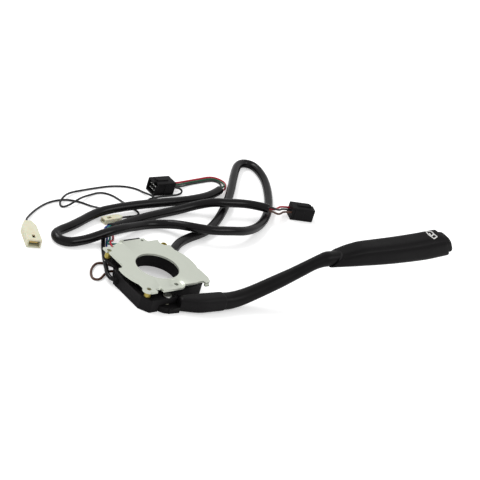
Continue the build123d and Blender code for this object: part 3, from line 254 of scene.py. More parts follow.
class PlateSettings(PropertyGroup):
    """Colours of the plated steel."""

    zinc: tint("Zinc", "Colour of the pale zinc plating", (0.70, 0.735, 0.645))
    yellow_zinc: tint("Yellow zinc", "Colour of the chromated spacers", (0.52, 0.44, 0.09))


class MouldingSettings(PropertyGroup):
    """Edge and colours of the black mouldings."""

    edge_round: length("Edge round", "Radius of the moulded edges", 0.00035, 0.00005, 0.001)
    black: tint("Black", "Colour of the housing moulding", (0.0055, 0.0050, 0.0055))
    rubber: tint("Rubber", "Colour of the boot and grommet", (0.0050, 0.0048, 0.0050))


class LeverSettings(PropertyGroup):
    """Sizes and colours of the lever, its grip and its button."""

    coating: tint("Coating", "Colour of the dipped tube", (0.0046, 0.0042, 0.0046))
    grip: tint("Grip", "Colour of the grip moulding", (0.0042, 0.0038, 0.0042))
    symbol_reach: length("Symbol place", "Distance of the symbol along the grip", 0.089, 0.06, 0.095)
    symbol_width: length("Symbol width", "Width of the printed windscreen symbol", 0.0105, 0.004, 0.014)
    mouth_rim: length("Mouth rim", "Wall of the grip round the washer button", 0.0012, 0.0006, 0.003)
    button_gap: length("Button gap", "Running room round the washer button", 0.0003, 0.0001, 0.0008)
    button_proud: length("Button height", "How far the button stands out of the grip", 0.0068, 0.004, 0.009)


class LoomSettings(PropertyGroup):
    """Sizes and colours of the loom."""

    sleeve_black: tint("Sleeve", "Colour of the soft sleeving", (0.0038, 0.0034, 0.0038))
    mouth_depth: length("Mouth depth", "How far a sleeve's open mouth goes in", 0.0040, 0.001, 0.006)
    mouth_radius: length("Mouth radius", "Inner radius of a sleeve's mouth", 0.0029, 0.002, 0.0033)
    rib_count: IntProperty(name="Boot ribs", description="Ribs along the boot", default=4, min=2, max=8)
    nylon: tint("Nylon", "Colour of the natural nylon plugs", (0.72, 0.71, 0.56))


class StageSettings(PropertyGroup):
    """Camera and floor."""

    distance: length("Distance", "Camera distance from the plate's bore", 1.1, 0.4, 4)
    elevation: degrees("Elevation", "Camera height angle", 27.62)
    heading: degrees("Heading", "Camera direction round the part", -47)
    roll: degrees("Roll", "Camera turn about its own axis", 18.18)
    floor_size: length("Floor", "Side of the floor", 6, 1, 20)


SETTINGS = {
    "switch_plate": PlateSettings,
    "switch_moulding": MouldingSettings,
    "switch_lever": LeverSettings,
    "switch_loom": LoomSettings,
    "switch_stage": StageSettings,
}


def settings(name):
    """One of the groups of settings, by its name on the scene."""
    return getattr(bpy.context.scene, name)


# Materials

def wired(tree, *links):
    """Links of (node, output, node, input) in a tree."""
    for source, output, target, entry in links:
        tree.links.new(source.outputs[output], target.inputs[entry])


def shader_input(material, name):
    """A socket of the material's shader."""
    return material.node_tree.nodes["Principled BSDF"].inputs[name]


def shader_material(name, color, roughness, metallic=0.0, specular=0.5, **sockets):
    """A Principled material with its plain values on the shader's own sockets."""
    material = bpy.data.materials.new(name)
    material.use_nodes = True
    sockets.update(Base_Color=(*color, 1), Roughness=roughness, Metallic=metallic)
    sockets.update(Specular_IOR_Level=specular)
    for socket, value in sockets.items():
        shader_input(material, socket.replace("_", " ")).default_value = value
    return material


def pattern(material, scale, detail=3.0, rough=0.5, stretch=(1, 1, 1)):
    """Noise in the piece's own space, stretched along its axes."""
    tree = material.node_tree
    place = tree.nodes.new("ShaderNodeTexCoord")
    mapping = tree.nodes.new("ShaderNodeMapping")
    noise = tree.nodes.new("ShaderNodeTexNoise")
    mapping.inputs["Scale"].default_value = stretch
    for socket, value in (("Scale", scale), ("Detail", detail), ("Roughness", rough)):
        noise.inputs[socket].default_value = value
    wired(tree, (place, "Object", mapping, "Vector"), (mapping, "Vector", noise, "Vector"))
    return noise.outputs["Fac"]


def ranged(material, value, low, high, start=0.3, end=0.7):
    """A pattern brought to a range of values."""
    tree = material.node_tree
    node = tree.nodes.new("ShaderNodeMapRange")
    for socket, number in zip(("From Min", "From Max", "To Min", "To Max"), (start, end, low, high)):
        node.inputs[socket].default_value = number
    tree.links.new(value, node.inputs["Value"])
    return node.outputs["Result"]


def tinted(material, factor, color):
    """Blends the base colour towards another by a pattern."""
    tree = material.node_tree
    mix = tree.nodes.new("ShaderNodeMix")
    mix.data_type = "RGBA"
    tree.links.new(factor, mix.inputs["Factor"])
    base = shader_input(material, "Base Color")
    if base.is_linked:
        tree.links.new(base.links[0].from_socket, mix.inputs["A"])
    else:
        mix.inputs["A"].default_value = base.default_value
    mix.inputs["B"].default_value = (*color, 1)
    tree.links.new(mix.outputs["Result"], base)


def bumped(material, height, distance, strength):
    """A bump of a real depth, laid over any bump that is there."""
    tree = material.node_tree
    normal = shader_input(material, "Normal")
    bump = tree.nodes.new("ShaderNodeBump")
    bump.inputs["Distance"].default_value = distance
    bump.inputs["Strength"].default_value = strength
    tree.links.new(height, bump.inputs["Height"])
    if normal.is_linked:
        tree.links.new(normal.links[0].from_socket, bump.inputs["Normal"])
    tree.links.new(bump.outputs["Normal"], normal)


def scaled(color, share):
    """A colour scaled by one share, or by a share for each channel."""
    shares = share if isinstance(share, tuple) else (share, share, share)
    return [channel * part for channel, part in zip(color, shares)]


def glossed(material, cloud, low, high):
    """Lets the roughness follow a pattern."""
    material.node_tree.links.new(ranged(material, cloud, low, high), shader_input(material, "Roughness"))


def clouded(material, noise, amount, shade, roughness=None):
    """Shades a material by a noise of (scale, detail, ...), and lets its roughness follow."""
    cloud = pattern(material, *noise)
    tinted(material, ranged(material, cloud, 0.0, amount), shade)
    if roughness:
        glossed(material, cloud, *roughness)
    return cloud


def make_zinc(name, color, dull, roughness=0.36):
    """Plated sheet: cloudy plating, fine rolling lines and small handling marks."""
    material = shader_material(name, color, roughness, metallic=0.55, specular=0.4)
    clouded(material, (55, 4), 0.55, dull, (roughness - 0.07, roughness + 0.12))
    marks = ranged(material, pattern(material, 420, 5, 0.7), 0.0, 0.35, 0.62, 0.78)
    tinted(material, marks, scaled(color, 0.55))
    bumped(material, pattern(material, 260, 3, stretch=(1, 18, 1)), 0.000015, 0.5)
    bumped(material, pattern(material, 2600, 2), 0.000012, 0.6)
    return material


def make_moulding(name, color, roughness, grain=1500, depth=0.00003, specular=0.13):
    """Moulded black plastic with a fine grain, faint flow clouds and dust."""
    material = shader_material(name, color, roughness, specular=specular)
    clouded(material, (90, 4), 0.5, scaled(color, 1.7), (roughness - 0.06, roughness + 0.10))
    dust = ranged(material, pattern(material, 900, 6, 0.75), 0.0, 0.16, 0.60, 0.80)
    tinted(material, dust, (0.16, 0.15, 0.15))
    bumped(material, pattern(material, grain, 3, 0.6), depth, 0.55)
    return material


def make_coating(name, color):
    """Dipped tube: satin coat with long, shallow waves."""
    material = shader_material(name, color, 0.34, specular=0.12)
    clouded(material, (70, 3), 0.6, scaled(color, 1.6), (0.27, 0.44))
    bumped(material, pattern(material, 140, 2), 0.00006, 0.45)
    bumped(material, pattern(material, 2200, 2), 0.000012, 0.5)
    return material


def make_sleeving(name, color):
    """Soft extruded sleeving: glossy, slightly uneven, with a dusty bloom in places."""
    material = shader_material(name, color, 0.20, specular=0.22)
    clouded(material, (45, 4), 0.55, scaled(color, 2.0), (0.13, 0.28))
    bumped(material, pattern(material, 110, 2), 0.00009, 0.4)
    bumped(material, pattern(material, 900, 3), 0.000012, 0.5)
    return material


def make_insulation(name, color):
    """Wire insulation with faint stains."""
    material = shader_material(name, color, 0.36, specular=0.42)
    clouded(material, (320, 4), 0.5, scaled(color, 0.6), (0.28, 0.46))
    return material


def make_nylon(name, color):
    """Natural nylon: slightly translucent, with a yellowed cloud and scuffs."""
    material = shader_material(
        name, color, 0.42, specular=0.4, Subsurface_Weight=0.12, Subsurface_Scale=0.0012,
    )
    clouded(material, (180, 4), 0.55, scaled(color, (0.86, 0.82, 0.66)), (0.34, 0.52))
    bumped(material, pattern(material, 1400, 3), 0.00002, 0.5)
    return material


def make_metal(name, color, roughness):
    """Small metal part with tarnish in patches."""
    material = shader_material(name, color, roughness, metallic=1.0)
    tarnish = pattern(material, 700, 5, 0.65)
    tinted(material, ranged(material, tarnish, 0.0, 0.7, 0.45, 0.75), scaled(color, 0.6))
    glossed(material, tarnish, roughness - 0.08, roughness + 0.15)
    bumped(material, pattern(material, 3200, 2), 0.00001, 0.4)
    return material


def make_board(name):
    """Phenolic board with paper fibres."""
    material = shader_material(name, (0.125, 0.050, 0.018), 0.42, specular=0.4)
    fibre = clouded(material, (500, 5, 0.7, (1, 7, 1)), 0.8, (0.06, 0.022, 0.009))
    bumped(material, fibre, 0.00002, 0.4)
    return material


def make_print(name):
    """White pad print, thin in places."""
    material = shader_material(name, (0.74, 0.74, 0.72), 0.5)
    worn = ranged(material, pattern(material, 1500, 5, 0.7), 0.0, 0.5, 0.5, 0.7)
    tinted(material, worn, (0.30, 0.30, 0.29))
    return material


# Materials made so far, by slot
FINISHES = {}


def finish(name):
    """The material of one of the record's slots, made once."""
    if name in FINISHES:
        return FINISHES[name]
    plate, moulding = settings("switch_plate"), settings("switch_moulding")
    lever, loom = settings("switch_lever"), settings("switch_loom")
    recipes = {
        "zinc_plate": (make_zinc, plate.zinc, scaled(plate.zinc, 0.86)),
        "yellow_zinc": (make_zinc, plate.yellow_zinc, (0.42, 0.26, 0.10), 0.30),
        "black_moulding": (make_moulding, moulding.black, 0.46),
        "black_rubber": (make_moulding, moulding.rubber, 0.58, 700, 0.00004, 0.14),
        "black_coated_steel": (make_coating, lever.coating),
        "grip_moulding": (make_moulding, lever.grip, 0.44, 1300, 0.00004, 0.11),
        "button_moulding": (make_moulding, lever.grip, 0.50, 1600, 0.00003, 0.12),
        "connector_moulding": (make_moulding, moulding.black, 0.50, 1700, 0.00002),
        "black_sleeve": (make_sleeving, loom.sleeve_black),
        "natural_nylon": (make_nylon, loom.nylon),
        "nylon": (make_nylon, loom.nylon),
        "phenolic": (make_board,),
    }
    recipes.update({slot: (make_metal, *values) for slot, values in METALS.items()})
    recipes.update({slot: (make_insulation, color) for slot, color in INSULATION.items()})
    maker, *values = recipes[name]
    FINISHES[name] = maker(name, *values)
    return FINISHES[name]


# Mesh helpers

def slot_of(node):
    """The record's material slot of a CAD node."""
    for part in frame["record"]["subparts"]:
        if part["node"] == node:
            return part["material_slot"]
    raise ValueError(f"no slot for {node}")


def body_of(node):
    """The body that a CAD node rides on."""
    for body, nodes in frame["record"]["behaviour"]["bodies"].items():
        if node in nodes:
            return body
    raise ValueError(f"no body for {node}")


def add_piece(name, mesh, body, slot, *replaced):
    """A finished piece at the origin, on a body, in a slot's finish."""
    piece = bpy.data.objects.new(name, mesh)
    bpy.context.scene.collection.objects.link(piece)
    if not mesh.materials:
        mesh.materials.append(finish(slot))
    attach(piece, body)
    if replaced:
        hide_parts(*replaced)
    return piece


def stand_in(node, name, mesh):
    """A finished piece that takes a CAD node's place, body and slot."""
    return add_piece(name, mesh, body_of(node), slot_of(node), node)


def mesh_from(work, name):
    """A mesh from a working mesh, which is freed."""
    mesh = bpy.data.meshes.new(name)
    work.to_mesh(mesh)
    work.free()
    return mesh


def smoothed(mesh, angle=34):
    """Smooth shading that breaks at sharp edges."""
    mesh.shade_smooth()
    mesh.set_sharp_from_angle(angle=math.radians(angle))
    return mesh


def welded(node):
    """A working mesh of a CAD node, with its loose triangles joined up."""
    work = bmesh.new()
    work.from_mesh(frame["nodes"][node].data)
    bmesh.ops.remove_doubles(work, verts=work.verts, dist=WELD)
    return work


def merged_mesh(node, dissolve=True):
    """A joined-up copy of a CAD node, with its flat areas made whole where nothing pierces them."""
    work = welded(node)
    if dissolve:
        bmesh.ops.dissolve_limit(work, angle_limit=math.radians(0.5), verts=work.verts, edges=work.edges)
    return mesh_from(work, node)


def evaluated(piece):
    """The piece with its modifiers applied, as a plain mesh. The piece itself is removed."""
    graph = bpy.context.evaluated_depsgraph_get()
    mesh = bpy.data.meshes.new_from_object(piece.evaluated_get(graph))
    bpy.data.objects.remove(piece)
    return mesh


def loose(mesh, name="work"):
    """An object that only stands in while a piece is made."""
    piece = bpy.data.objects.new(name, mesh)
    bpy.context.scene.collection.objects.link(piece)
    return piece


def joined(name, meshes):
    """One mesh made of several."""
    work = bmesh.new()
    for mesh in meshes:
        work.from_mesh(mesh)
    return mesh_from(work, name)


def rounded_node(node, radius, segments=3):
    """A CAD node with its edges rounded by a small radius."""
    work = loose(smoothed(merged_mesh(node)))
    sharp = math.radians(32)
    bevel = work.modifiers.new("Edges", "BEVEL")
    bevel.width = radius
    bevel.segments = segments
    bevel.limit_method = "ANGLE"
    bevel.angle_limit = sharp
    bevel.use_clamp_overlap = False
    bevel.harden_normals = True
    mesh = evaluated(work)
    mesh.materials.clear()
    mesh.name = node
    return stand_in(node, f"{node}_body", mesh)


def dress_nodes(*nodes):
    """Gives CAD nodes that stay their procedural finish."""
    for node in nodes:
        piece = frame["nodes"][node]
        material = finish(slot_of(node))
        for place in piece.material_slots:
            place.material = material


def lathe(profile, sides, name):
    """A turned form from (radius, height) pairs, closed at its axis."""
    work = bmesh.new()
    rings = []
    for radius, height in profile:
        if radius == 0:
            rings.append([work.verts.new((0, 0, height))])
            continue
        turn = 2 * math.pi / sides
        ring = [(radius * math.cos(turn * i), radius * math.sin(turn * i), height) for i in range(sides)]
        rings.append([work.verts.new(point) for point in ring])
    for low, high in zip(rings, rings[1:]):
        for i in range(sides):
            j = (i + 1) % sides
            corners = [low[i % len(low)], low[j % len(low)], high[j % len(high)], high[i % len(high)]]
            unique = list(dict.fromkeys(corners))
            if len(unique) > 2:
                work.faces.new(unique)
    bmesh.ops.recalc_face_normals(work, faces=work.faces)
    return mesh_from(work, name)


def skinned(name, rings, angle=40):
    """A closed skin over rings of points, with a flat face at each end."""
    work = bmesh.new()
    loops = [[work.verts.new(point) for point in ring] for ring in rings]
    count = len(loops[0])
    for low, high in zip(loops, loops[1:]):
        for i in range(count):
            j = (i + 1) % count
            work.faces.new((low[i], low[j], high[j], high[i]))
    work.faces.new(loops[0])
    work.faces.new(loops[-1])
    bmesh.ops.recalc_face_normals(work, faces=work.faces)
    return smoothed(mesh_from(work, name), angle)


def islands(node):
    """Middle of each separate solid in a CAD node, with its lowest and highest corner."""
    work = welded(node)
    seen, found = set(), []
    for first in work.verts:
        if first in seen:
            continue
        group, queue = [], [first]
        seen.add(first)
        while queue:
            vert = queue.pop()
            group.append(vert.co.copy())
            for edge in vert.link_edges:
                other = edge.other_vert(vert)
                if other not in seen:
                    seen.add(other)
                    queue.append(other)
        low = Vector([min(point[i] for point in group) for i in range(3)])
        high = Vector([max(point[i] for point in group) for i in range(3)])
        found.append(((low + high) / 2, low, high))
    work.free()
    return sorted(found, key=lambda item: tuple(round(c, 5) for c in item[0]))


# Geometry Nodes

def node_tree(name, inputs):
    """A tree with a geometry output and named inputs of (name, type, default)."""
    tree = bpy.data.node_groups.new(name, "GeometryNodeTree")
    tree.interface.new_socket("Geometry", in_out="OUTPUT", socket_type="NodeSocketGeometry")
    tree.interface.new_socket("Geometry", in_out="INPUT", socket_type="NodeSocketGeometry")
    for label, kind, default in inputs + [("Material", "Material", None)]:
        socket = tree.interface.new_socket(label, in_out="INPUT", socket_type=f"NodeSocket{kind}")
        if default is not None:
            socket.default_value = default
    return tree, tree.nodes.new("NodeGroupInput")


def maths(tree, operation, factor=None):
    """A math node, with its second number where it is fixed."""
    node = tree.nodes.new("ShaderNodeMath")
    node.operation = operation
    if factor is not None:
        node.inputs[1].default_value = factor
    return node


def ended_tree(tree, source, output, entry):
    """Ends a tree in Realize Instances and Set Material."""
    realize = tree.nodes.new("GeometryNodeRealizeInstances")
    dressed = tree.nodes.new("GeometryNodeSetMaterial")
    wired(
        tree,
        (source, output, realize, "Geometry"), (realize, "Geometry", dressed, "Geometry"),
        (entry, "Material", dressed, "Material"),
        (dressed, "Geometry", tree.nodes.new("NodeGroupOutput"), "Geometry"),
    )
    return tree


def copies_tree():
    """Sets one template at each point of the base mesh."""
    name = "Copies at points"
    if name in bpy.data.node_groups:
        return bpy.data.node_groups[name]
    tree, entry = node_tree(name, [
        ("Template", "Object", None), ("Turn Spread", "Float", 0.0), ("Seed", "Int", 7),
    ])
    template = tree.nodes.new("GeometryNodeObjectInfo")
    place = tree.nodes.new("GeometryNodeInstanceOnPoints")
    spread = tree.nodes.new("FunctionNodeRandomValue")
    spread.data_type = "FLOAT"
    axes = tree.nodes.new("ShaderNodeCombineXYZ")
    # The random value's float sockets share their names with its vector ones
    highest, value = 3, 1
    wired(
        tree,
        (entry, "Template", template, "Object"), (template, "Geometry", place, "Instance"),
        (entry, "Geometry", place, "Points"), (entry, "Turn Spread", spread, highest),
        (entry, "Seed", spread, "Seed"), (spread, value, axes, "Z"), (axes, "Vector", place, "Rotation"),
    )
    return ended_tree(tree, place, "Instances", entry)


def ribs_tree():
    """A ribbed tube round the base curve."""
    name = "Ribbed tube"
    if name in bpy.data.node_groups:
        return bpy.data.node_groups[name]
    tree, entry = node_tree(name, [
        ("Radius", "Float", 0.004), ("Rib Height", "Float", 0.0004), ("Ribs", "Float", 4.0),
    ])
    sides, rings = 40, 96
    resample = tree.nodes.new("GeometryNodeResampleCurve")
    along = tree.nodes.new("GeometryNodeSplineParameter")
    phase = maths(tree, "MULTIPLY")
    turns = maths(tree, "MULTIPLY", 2 * math.pi)
    wave = maths(tree, "COSINE")
    height = maths(tree, "MULTIPLY")
    radius = maths(tree, "SUBTRACT")
    ring = tree.nodes.new("GeometryNodeCurvePrimitiveCircle")
    ring.inputs["Radius"].default_value = 1.0
    ring.inputs["Resolution"].default_value = sides
    resample.inputs["Count"].default_value = rings
    tube = tree.nodes.new("GeometryNodeCurveToMesh")
    tube.inputs["Fill Caps"].default_value = True
    wired(
        tree,
        (entry, "Geometry", resample, "Curve"), (along, "Factor", phase, 0), (entry, "Ribs", phase, 1),
        (phase, 0, turns, 0), (turns, 0, wave, 0), (wave, 0, height, 0), (entry, "Rib Height", height, 1),
        (entry, "Radius", radius, 0), (height, 0, radius, 1), (resample, "Curve", tube, "Curve"),
        (radius, 0, tube, "Scale"), (ring, "Curve", tube, "Profile Curve"),
    )
    return ended_tree(tree, tube, "Mesh", entry)


def grown(base, tree, values):
    """Runs a tree on a base object with named input values and returns the plain mesh."""
    modifier = base.modifiers.new("Build", "NODES")
    modifier.node_group = tree
    for item in tree.interface.items_tree:
        if item.in_out == "INPUT" and item.name in values:
            modifier[item.identifier] = values[item.name]
    return evaluated(base)


def copies(name, template_mesh, points, body, slot, *replaced, **values):
    """One piece made of equal forms set at points."""
    template = loose(template_mesh, f"{name}_template")
    base_mesh = bpy.data.meshes.new(name)
    base_mesh.from_pydata([tuple(point) for point in points], [], [])
    mesh = grown(loose(base_mesh), copies_tree(), {"Template": template, "Material": finish(slot), **values})
    bpy.data.objects.remove(template)
    return add_piece(name, smoothed(mesh), body, slot, *replaced)


# Cords

def route_points(name):
    """A cord's route in the row frame."""
    return [Vector((x * MM, y * MM, height * MM + REST)) for x, y, height in ROUTES[name]]


def open_curve(name, points, kind):
    """An open curve with the given points."""
    curve = bpy.data.curves.new(name, "CURVE")
    curve.dimensions = "3D"
    spline = curve.splines.new(kind)
    spline.points.add(len(points) - 1)
    for place, point in zip(spline.points, points):
        place.co = (*point, 1)
    return curve


def nurbs_curve(name, points, resolution=10):
    """An open NURBS curve with the route's points as its control points."""
    curve = open_curve(name, points, "NURBS")
    curve.resolution_u = resolution
    spline = curve.splines[0]
    spline.order_u = 3
    spline.use_endpoint_u = True
    spline.resolution_u = resolution
    return curve


def centreline(name):
    """Points read from a route's NURBS spline."""
    mesh = evaluated(loose(nurbs_curve(f"{name}_line", route_points(name), resolution=8), name))
    points = [vertex.co.copy() for vertex in mesh.vertices]
    bpy.data.meshes.remove(mesh)
    return points


def carried_frames(line):
    """Along a line, each point with its direction and two axes across, carried without a twist."""
    side = (line[1] - line[0]).cross(UP).normalized()
    frames = []
    for index, point in enumerate(line):
        ahead = line[min(index + 1, len(line) - 1)] - line[max(index - 1, 0)]
        ahead.normalize()
        side = (side - ahead * side.dot(ahead)).normalized()
        frames.append((point, ahead.copy(), side.copy(), ahead.cross(side)))
    return frames


def round_ring(carried, reach, shift=0.0, sides=28):
    """A round ring across a carried frame, moved along by a shift."""
    point, ahead, across, over = carried
    turns = [2 * math.pi * i / sides for i in range(sides)]
    return [
        point + ahead * shift + (across * math.cos(turn) + over * math.sin(turn)) * reach for turn in turns
    ]


def sleeve_mesh(name, line, radius, bore, depth):
    """A soft tube along a line, with an open mouth at each end and slight unevenness."""
    frames = carried_frames(line)
    first, last = frames[0], frames[-1]
    lip = (radius - bore) / 2
    mouth = [(bore, depth), (bore, lip * 0.5), (bore + lip * 0.4, 0.0), (radius - lip * 0.4, 0.0)]
    rings = [round_ring(first, reach, shift) for reach, shift in mouth]
    # Height, waves per metre in radians and start of the unevenness
    waves = ((0.008, 410, 0.0), (0.006, 173, 1.3))
    travelled = 0.0
    for index, carried in enumerate(frames):
        if index:
            travelled += (line[index] - line[index - 1]).length
        swell = 1 + sum(height * math.sin(travelled * pace + start) for height, pace, start in waves)
        shift = lip * 0.5 * ((carried is first) - (carried is last))
        rings.append(round_ring(carried, radius * min(swell, 1.0), shift))
    rings += [round_ring(last, reach, -shift) for reach, shift in reversed(mouth)]
    return skinned(name, rings, angle=50)


# Lever and grip

def lever_matrix():
    """The lever's own frame at rest: X along it from the pivot, Z up from the resting surface."""
    return Matrix.Translation(PIVOT) @ Matrix.Rotation(LEVER_REST_ANGLE, 4, "Z")


def grip_matrix():
    """The grip's own line: X along it, Z up, from where the grip starts."""
    slope = Matrix.Rotation(-GRIP_SLOPE, 4, "Y")
    return lever_matrix() @ Matrix.Translation(GRIP_START) @ slope


def eased(sections, steps):
    """Sections filled in with smooth ones between them."""
    filled = []
    last = len(sections) - 1
    for i in range(last):
        values = [Vector(sections[max(0, min(last, i + k))]) for k in (-1, 0, 1, 2)]
        before, here, there, beyond = values
        for k in range(steps):
            t = k / steps
            bend = (there - before) * t + (before * 2 - here * 5 + there * 4 - beyond) * t ** 2
            bend += (here * 3 - before - there * 3 + beyond) * t ** 3
            filled.append(here + bend / 2)
    filled.append(Vector(sections[last]))
    return filled


def oval(width, height, squareness, sides=56):
    """A section between an ellipse and a rounded box, as (across, up) pairs."""
    points = []
    for i in range(sides):
        turn = 2 * math.pi * i / sides
        across, over = math.cos(turn), math.sin(turn)
        points.append((
            math.copysign(abs(across) ** (2 / squareness), across) * width / 2,
            math.copysign(abs(over) ** (2 / squareness), over) * height / 2,
        ))
    return points


def cornered(corners, width, height, share=0.30, steps=5):
    """A many-cornered section with each corner turned by a small curve, as (across, up) pairs."""
    places = [Vector((across * width, over * height)) for across, over in corners]
    points = []
    for i, here in enumerate(places):
        start = here.lerp(places[i - 1], share)
        end = here.lerp(places[(i + 1) % len(places)], share)
        for k in range(steps + 1):
            t = k / steps
            points.append(start.lerp(here, t).lerp(here.lerp(end, t), t))
    return points


def tube_rings(sections):
    """Rings of the dipped tube, square to its line, in the row frame."""
    place = lever_matrix()
    rings = []
    for i, (along, over, width, height, squareness) in enumerate(sections):
        before = sections[max(0, i - 1)]
        after = sections[min(len(sections) - 1, i + 1)]
        ahead = Vector((after[0] - before[0], 0, after[1] - before[1])).normalized()
        up = Vector((-ahead.z, 0, ahead.x))
        middle = Vector((along * MM, -LEVER_OFFSET, over * MM))
        ring = oval(width * MM, height * MM, squareness)
        rings.append([place @ (middle + Vector((0, x, 0)) + up * y) for x, y in ring])
    return rings


def grip_ring(section, inset=0.0, shift=0.0):
    """One ring of the grip or its button in the row frame, drawn in by an inset and moved along."""
    along, width, height, rise, slant = section
    points = cornered(GRIP_CORNERS, width * MM - 2 * inset, height * MM - 2 * inset)
    place = grip_matrix()
    return [place @ Vector((along * MM + shift + slant * y, x, rise * MM + y)) for x, y in points]


def ribbon(points, width):
    """Corners of a flat ribbon along points in a plane, as quads of (x, y)."""
    left, right = [], []
    for index, (x, y) in enumerate(points):
        ahead = Vector(points[min(index + 1, len(points) - 1)]) - Vector(points[max(index - 1, 0)])
        ahead.normalize()
        left.append((x - ahead.y * width / 2, y + ahead.x * width / 2))
        right.append((x + ahead.y * width / 2, y - ahead.x * width / 2))
    return [(left[i], left[i + 1], right[i + 1], right[i]) for i in range(len(points) - 1)]


def windscreen_symbol(width):
    """Strokes of a plain windscreen symbol with a wiper and its swept arc."""
    height = width * 0.46
    stroke = width * 0.085
    across = [i / 6 - 1 for i in range(13)]
    top = [(width * 0.5 * t, height * (0.5 - 0.22 * t ** 2)) for t in across]
    low = [(width * 0.36 * t, -height * (0.5 + 0.06 * t ** 2)) for t in across[::2]]
    left = [top[0], low[0]]
    right = [top[-1], low[-1]]
    arm = [(0.0, -height * 0.42), (-width * 0.20, height * 0.22)]
    sweep = []
    for i in range(9):
        turn = math.radians(50 + 80 * i / 8)
        sweep.append((width * 0.30 * math.cos(turn), -height * 0.42 + width * 0.30 * math.sin(turn)))
    quads = []
    for line in (top, low, left, right, arm, sweep):
        fine = []
        for (x0, y0), (x1, y1) in zip(line, line[1:]):
            steps = max(1, int(math.hypot(x1 - x0, y1 - y0) / (width * 0.05)))
            fine += [(x0 + (x1 - x0) * k / steps, y0 + (y1 - y0) * k / steps) for k in range(steps)]
        fine.append(line[-1])
        quads += ribbon(fine, stroke)
    return quads


# Operators

class SWITCH_OT_body(Operator):
    """Smooth the pressed plate and round the housing's moulded edges"""

    bl_idname = "switch.body"
    bl_label = "Plate and housing"

    def execute(self, context):
        mesh = smoothed(merged_mesh("face_plate", dissolve=False), angle=26)
        mesh.materials.clear()
        stand_in("face_plate", "face_plate_plated", mesh)
        rounded_node("housing", settings("switch_moulding").edge_round)
        return {"FINISHED"}


class SWITCH_OT_hardware(Operator):
    """Turn the spacers and rivets, finish the contacts and set solder on the tags"""

    bl_idname = "switch.hardware"
    bl_label = "Small hardware"

    def execute(self, context):
        spacers, radius, height = self.measured("plate_spacers")
        bore, chamfer = 0.00152, 0.0003
        profile = [
            (bore, 0), (radius - chamfer, 0), (radius, chamfer), (radius, height - chamfer),
            (radius - chamfer, height), (bore, height), (bore, 0),
        ]
        bases = [Vector((middle.x, middle.y, low.z)) for middle, low, high in spacers]
        template = lathe(profile, sides=40, name="spacer")
        copies("zinc_spacers", template, bases, "base", "yellow_zinc", "plate_spacers")
        rivets, radius, height = self.measured("board_rivets")
        dome = [
            (radius * 0.42, 0), (radius, 0), (radius, -height * 0.35), (radius * 0.86, -height * 0.8),
            (radius * 0.62, -height), (radius * 0.44, -height * 0.9), (radius * 0.42, 0),
        ]
        bases = [Vector((middle.x, middle.y, high.z)) for middle, low, high in rivets]
        copies("rivet_heads", lathe(dome, sides=32, name="rivet"), bases, "base", "brass", "board_rivets")
        metal_round = 0.00015
        for node in ("housing_screws", "pivot_pin"):
            rounded_node(node, metal_round, segments=2)
        dress_nodes(
            "contact_board", "fixed_contacts", "common_contact", "terminal_tags", "pivot_washer",
            "pivot_clip", "detent_leaf", "inner_wires", "contact_plunger", "plunger_spring",
            "bridge_contact",
        )
        bead = [(0, 0.0010), (0.0009, 0.0006), (0.0012, 0.0), (0.0009, -0.0007), (0.0, -0.0011)]
        rise = 0.0016
        tags, _, _ = self.measured("terminal_tags")
        places = [Vector((middle.x, middle.y, low.z + rise)) for middle, low, high in tags]
        template = lathe(bead, sides=16, name="bead")
        copies("solder_beads", template, places, "base", "tinned_tag", **{"Turn Spread": 3.0})
        return {"FINISHED"}

    def measured(self, node):
        """The solids of a node, with the half width and height of the first."""
        parts = islands(node)
        _, low, high = parts[0]
        return parts, (high.x - low.x) / 2, high.z - low.z


class SWITCH_OT_lever(Operator):
    """Loft the rounded root and the bent tube with its smooth dipped coat"""

    bl_idname = "switch.lever"
    bl_label = "Lever root and arm"

    def execute(self, context):
        mesh = joined("lever_root", [self.hub_mesh(), self.root_mesh()])
        stand_in("lever_hub", "lever_root", smoothed(mesh, angle=40))
        arm = skinned("lever_arm", tube_rings(eased(ARM_SECTIONS, steps=6)), angle=60)
        stand_in("lever_arm", "lever_arm_coated", arm)
        return {"FINISHED"}

    def hub_mesh(self):
        """The hub and its tail up to where the root starts."""
        work = welded("lever_hub")
        work.transform(lever_matrix().inverted())
        everything = list(work.verts) + list(work.edges) + list(work.faces)
        overlap = 0.1
        start = Vector(((ROOT_SECTIONS[0][0] + overlap) * MM, 0, 0))
        bmesh.ops.bisect_plane(work, geom=everything, plane_co=start, plane_no=(1, 0, 0), clear_outer=True)
        bmesh.ops.holes_fill(work, edges=[edge for edge in work.edges if edge.is_boundary])
        work.transform(lever_matrix())
        bmesh.ops.recalc_face_normals(work, faces=work.faces)
        return mesh_from(work, "hub")

    def root_mesh(self):
        """The moulded root, lofted over its sections."""
        place = lever_matrix()
        rings = []
        for along, side, over, width, height, squareness in eased(ROOT_SECTIONS, steps=5):
            middle = Vector((along * MM, side * MM, over * MM))
            ring = oval(width * MM, height * MM, squareness)
            rings.append([place @ (middle + Vector((0, x, y))) for x, y in ring])
        return skinned("root", rings, angle=50)


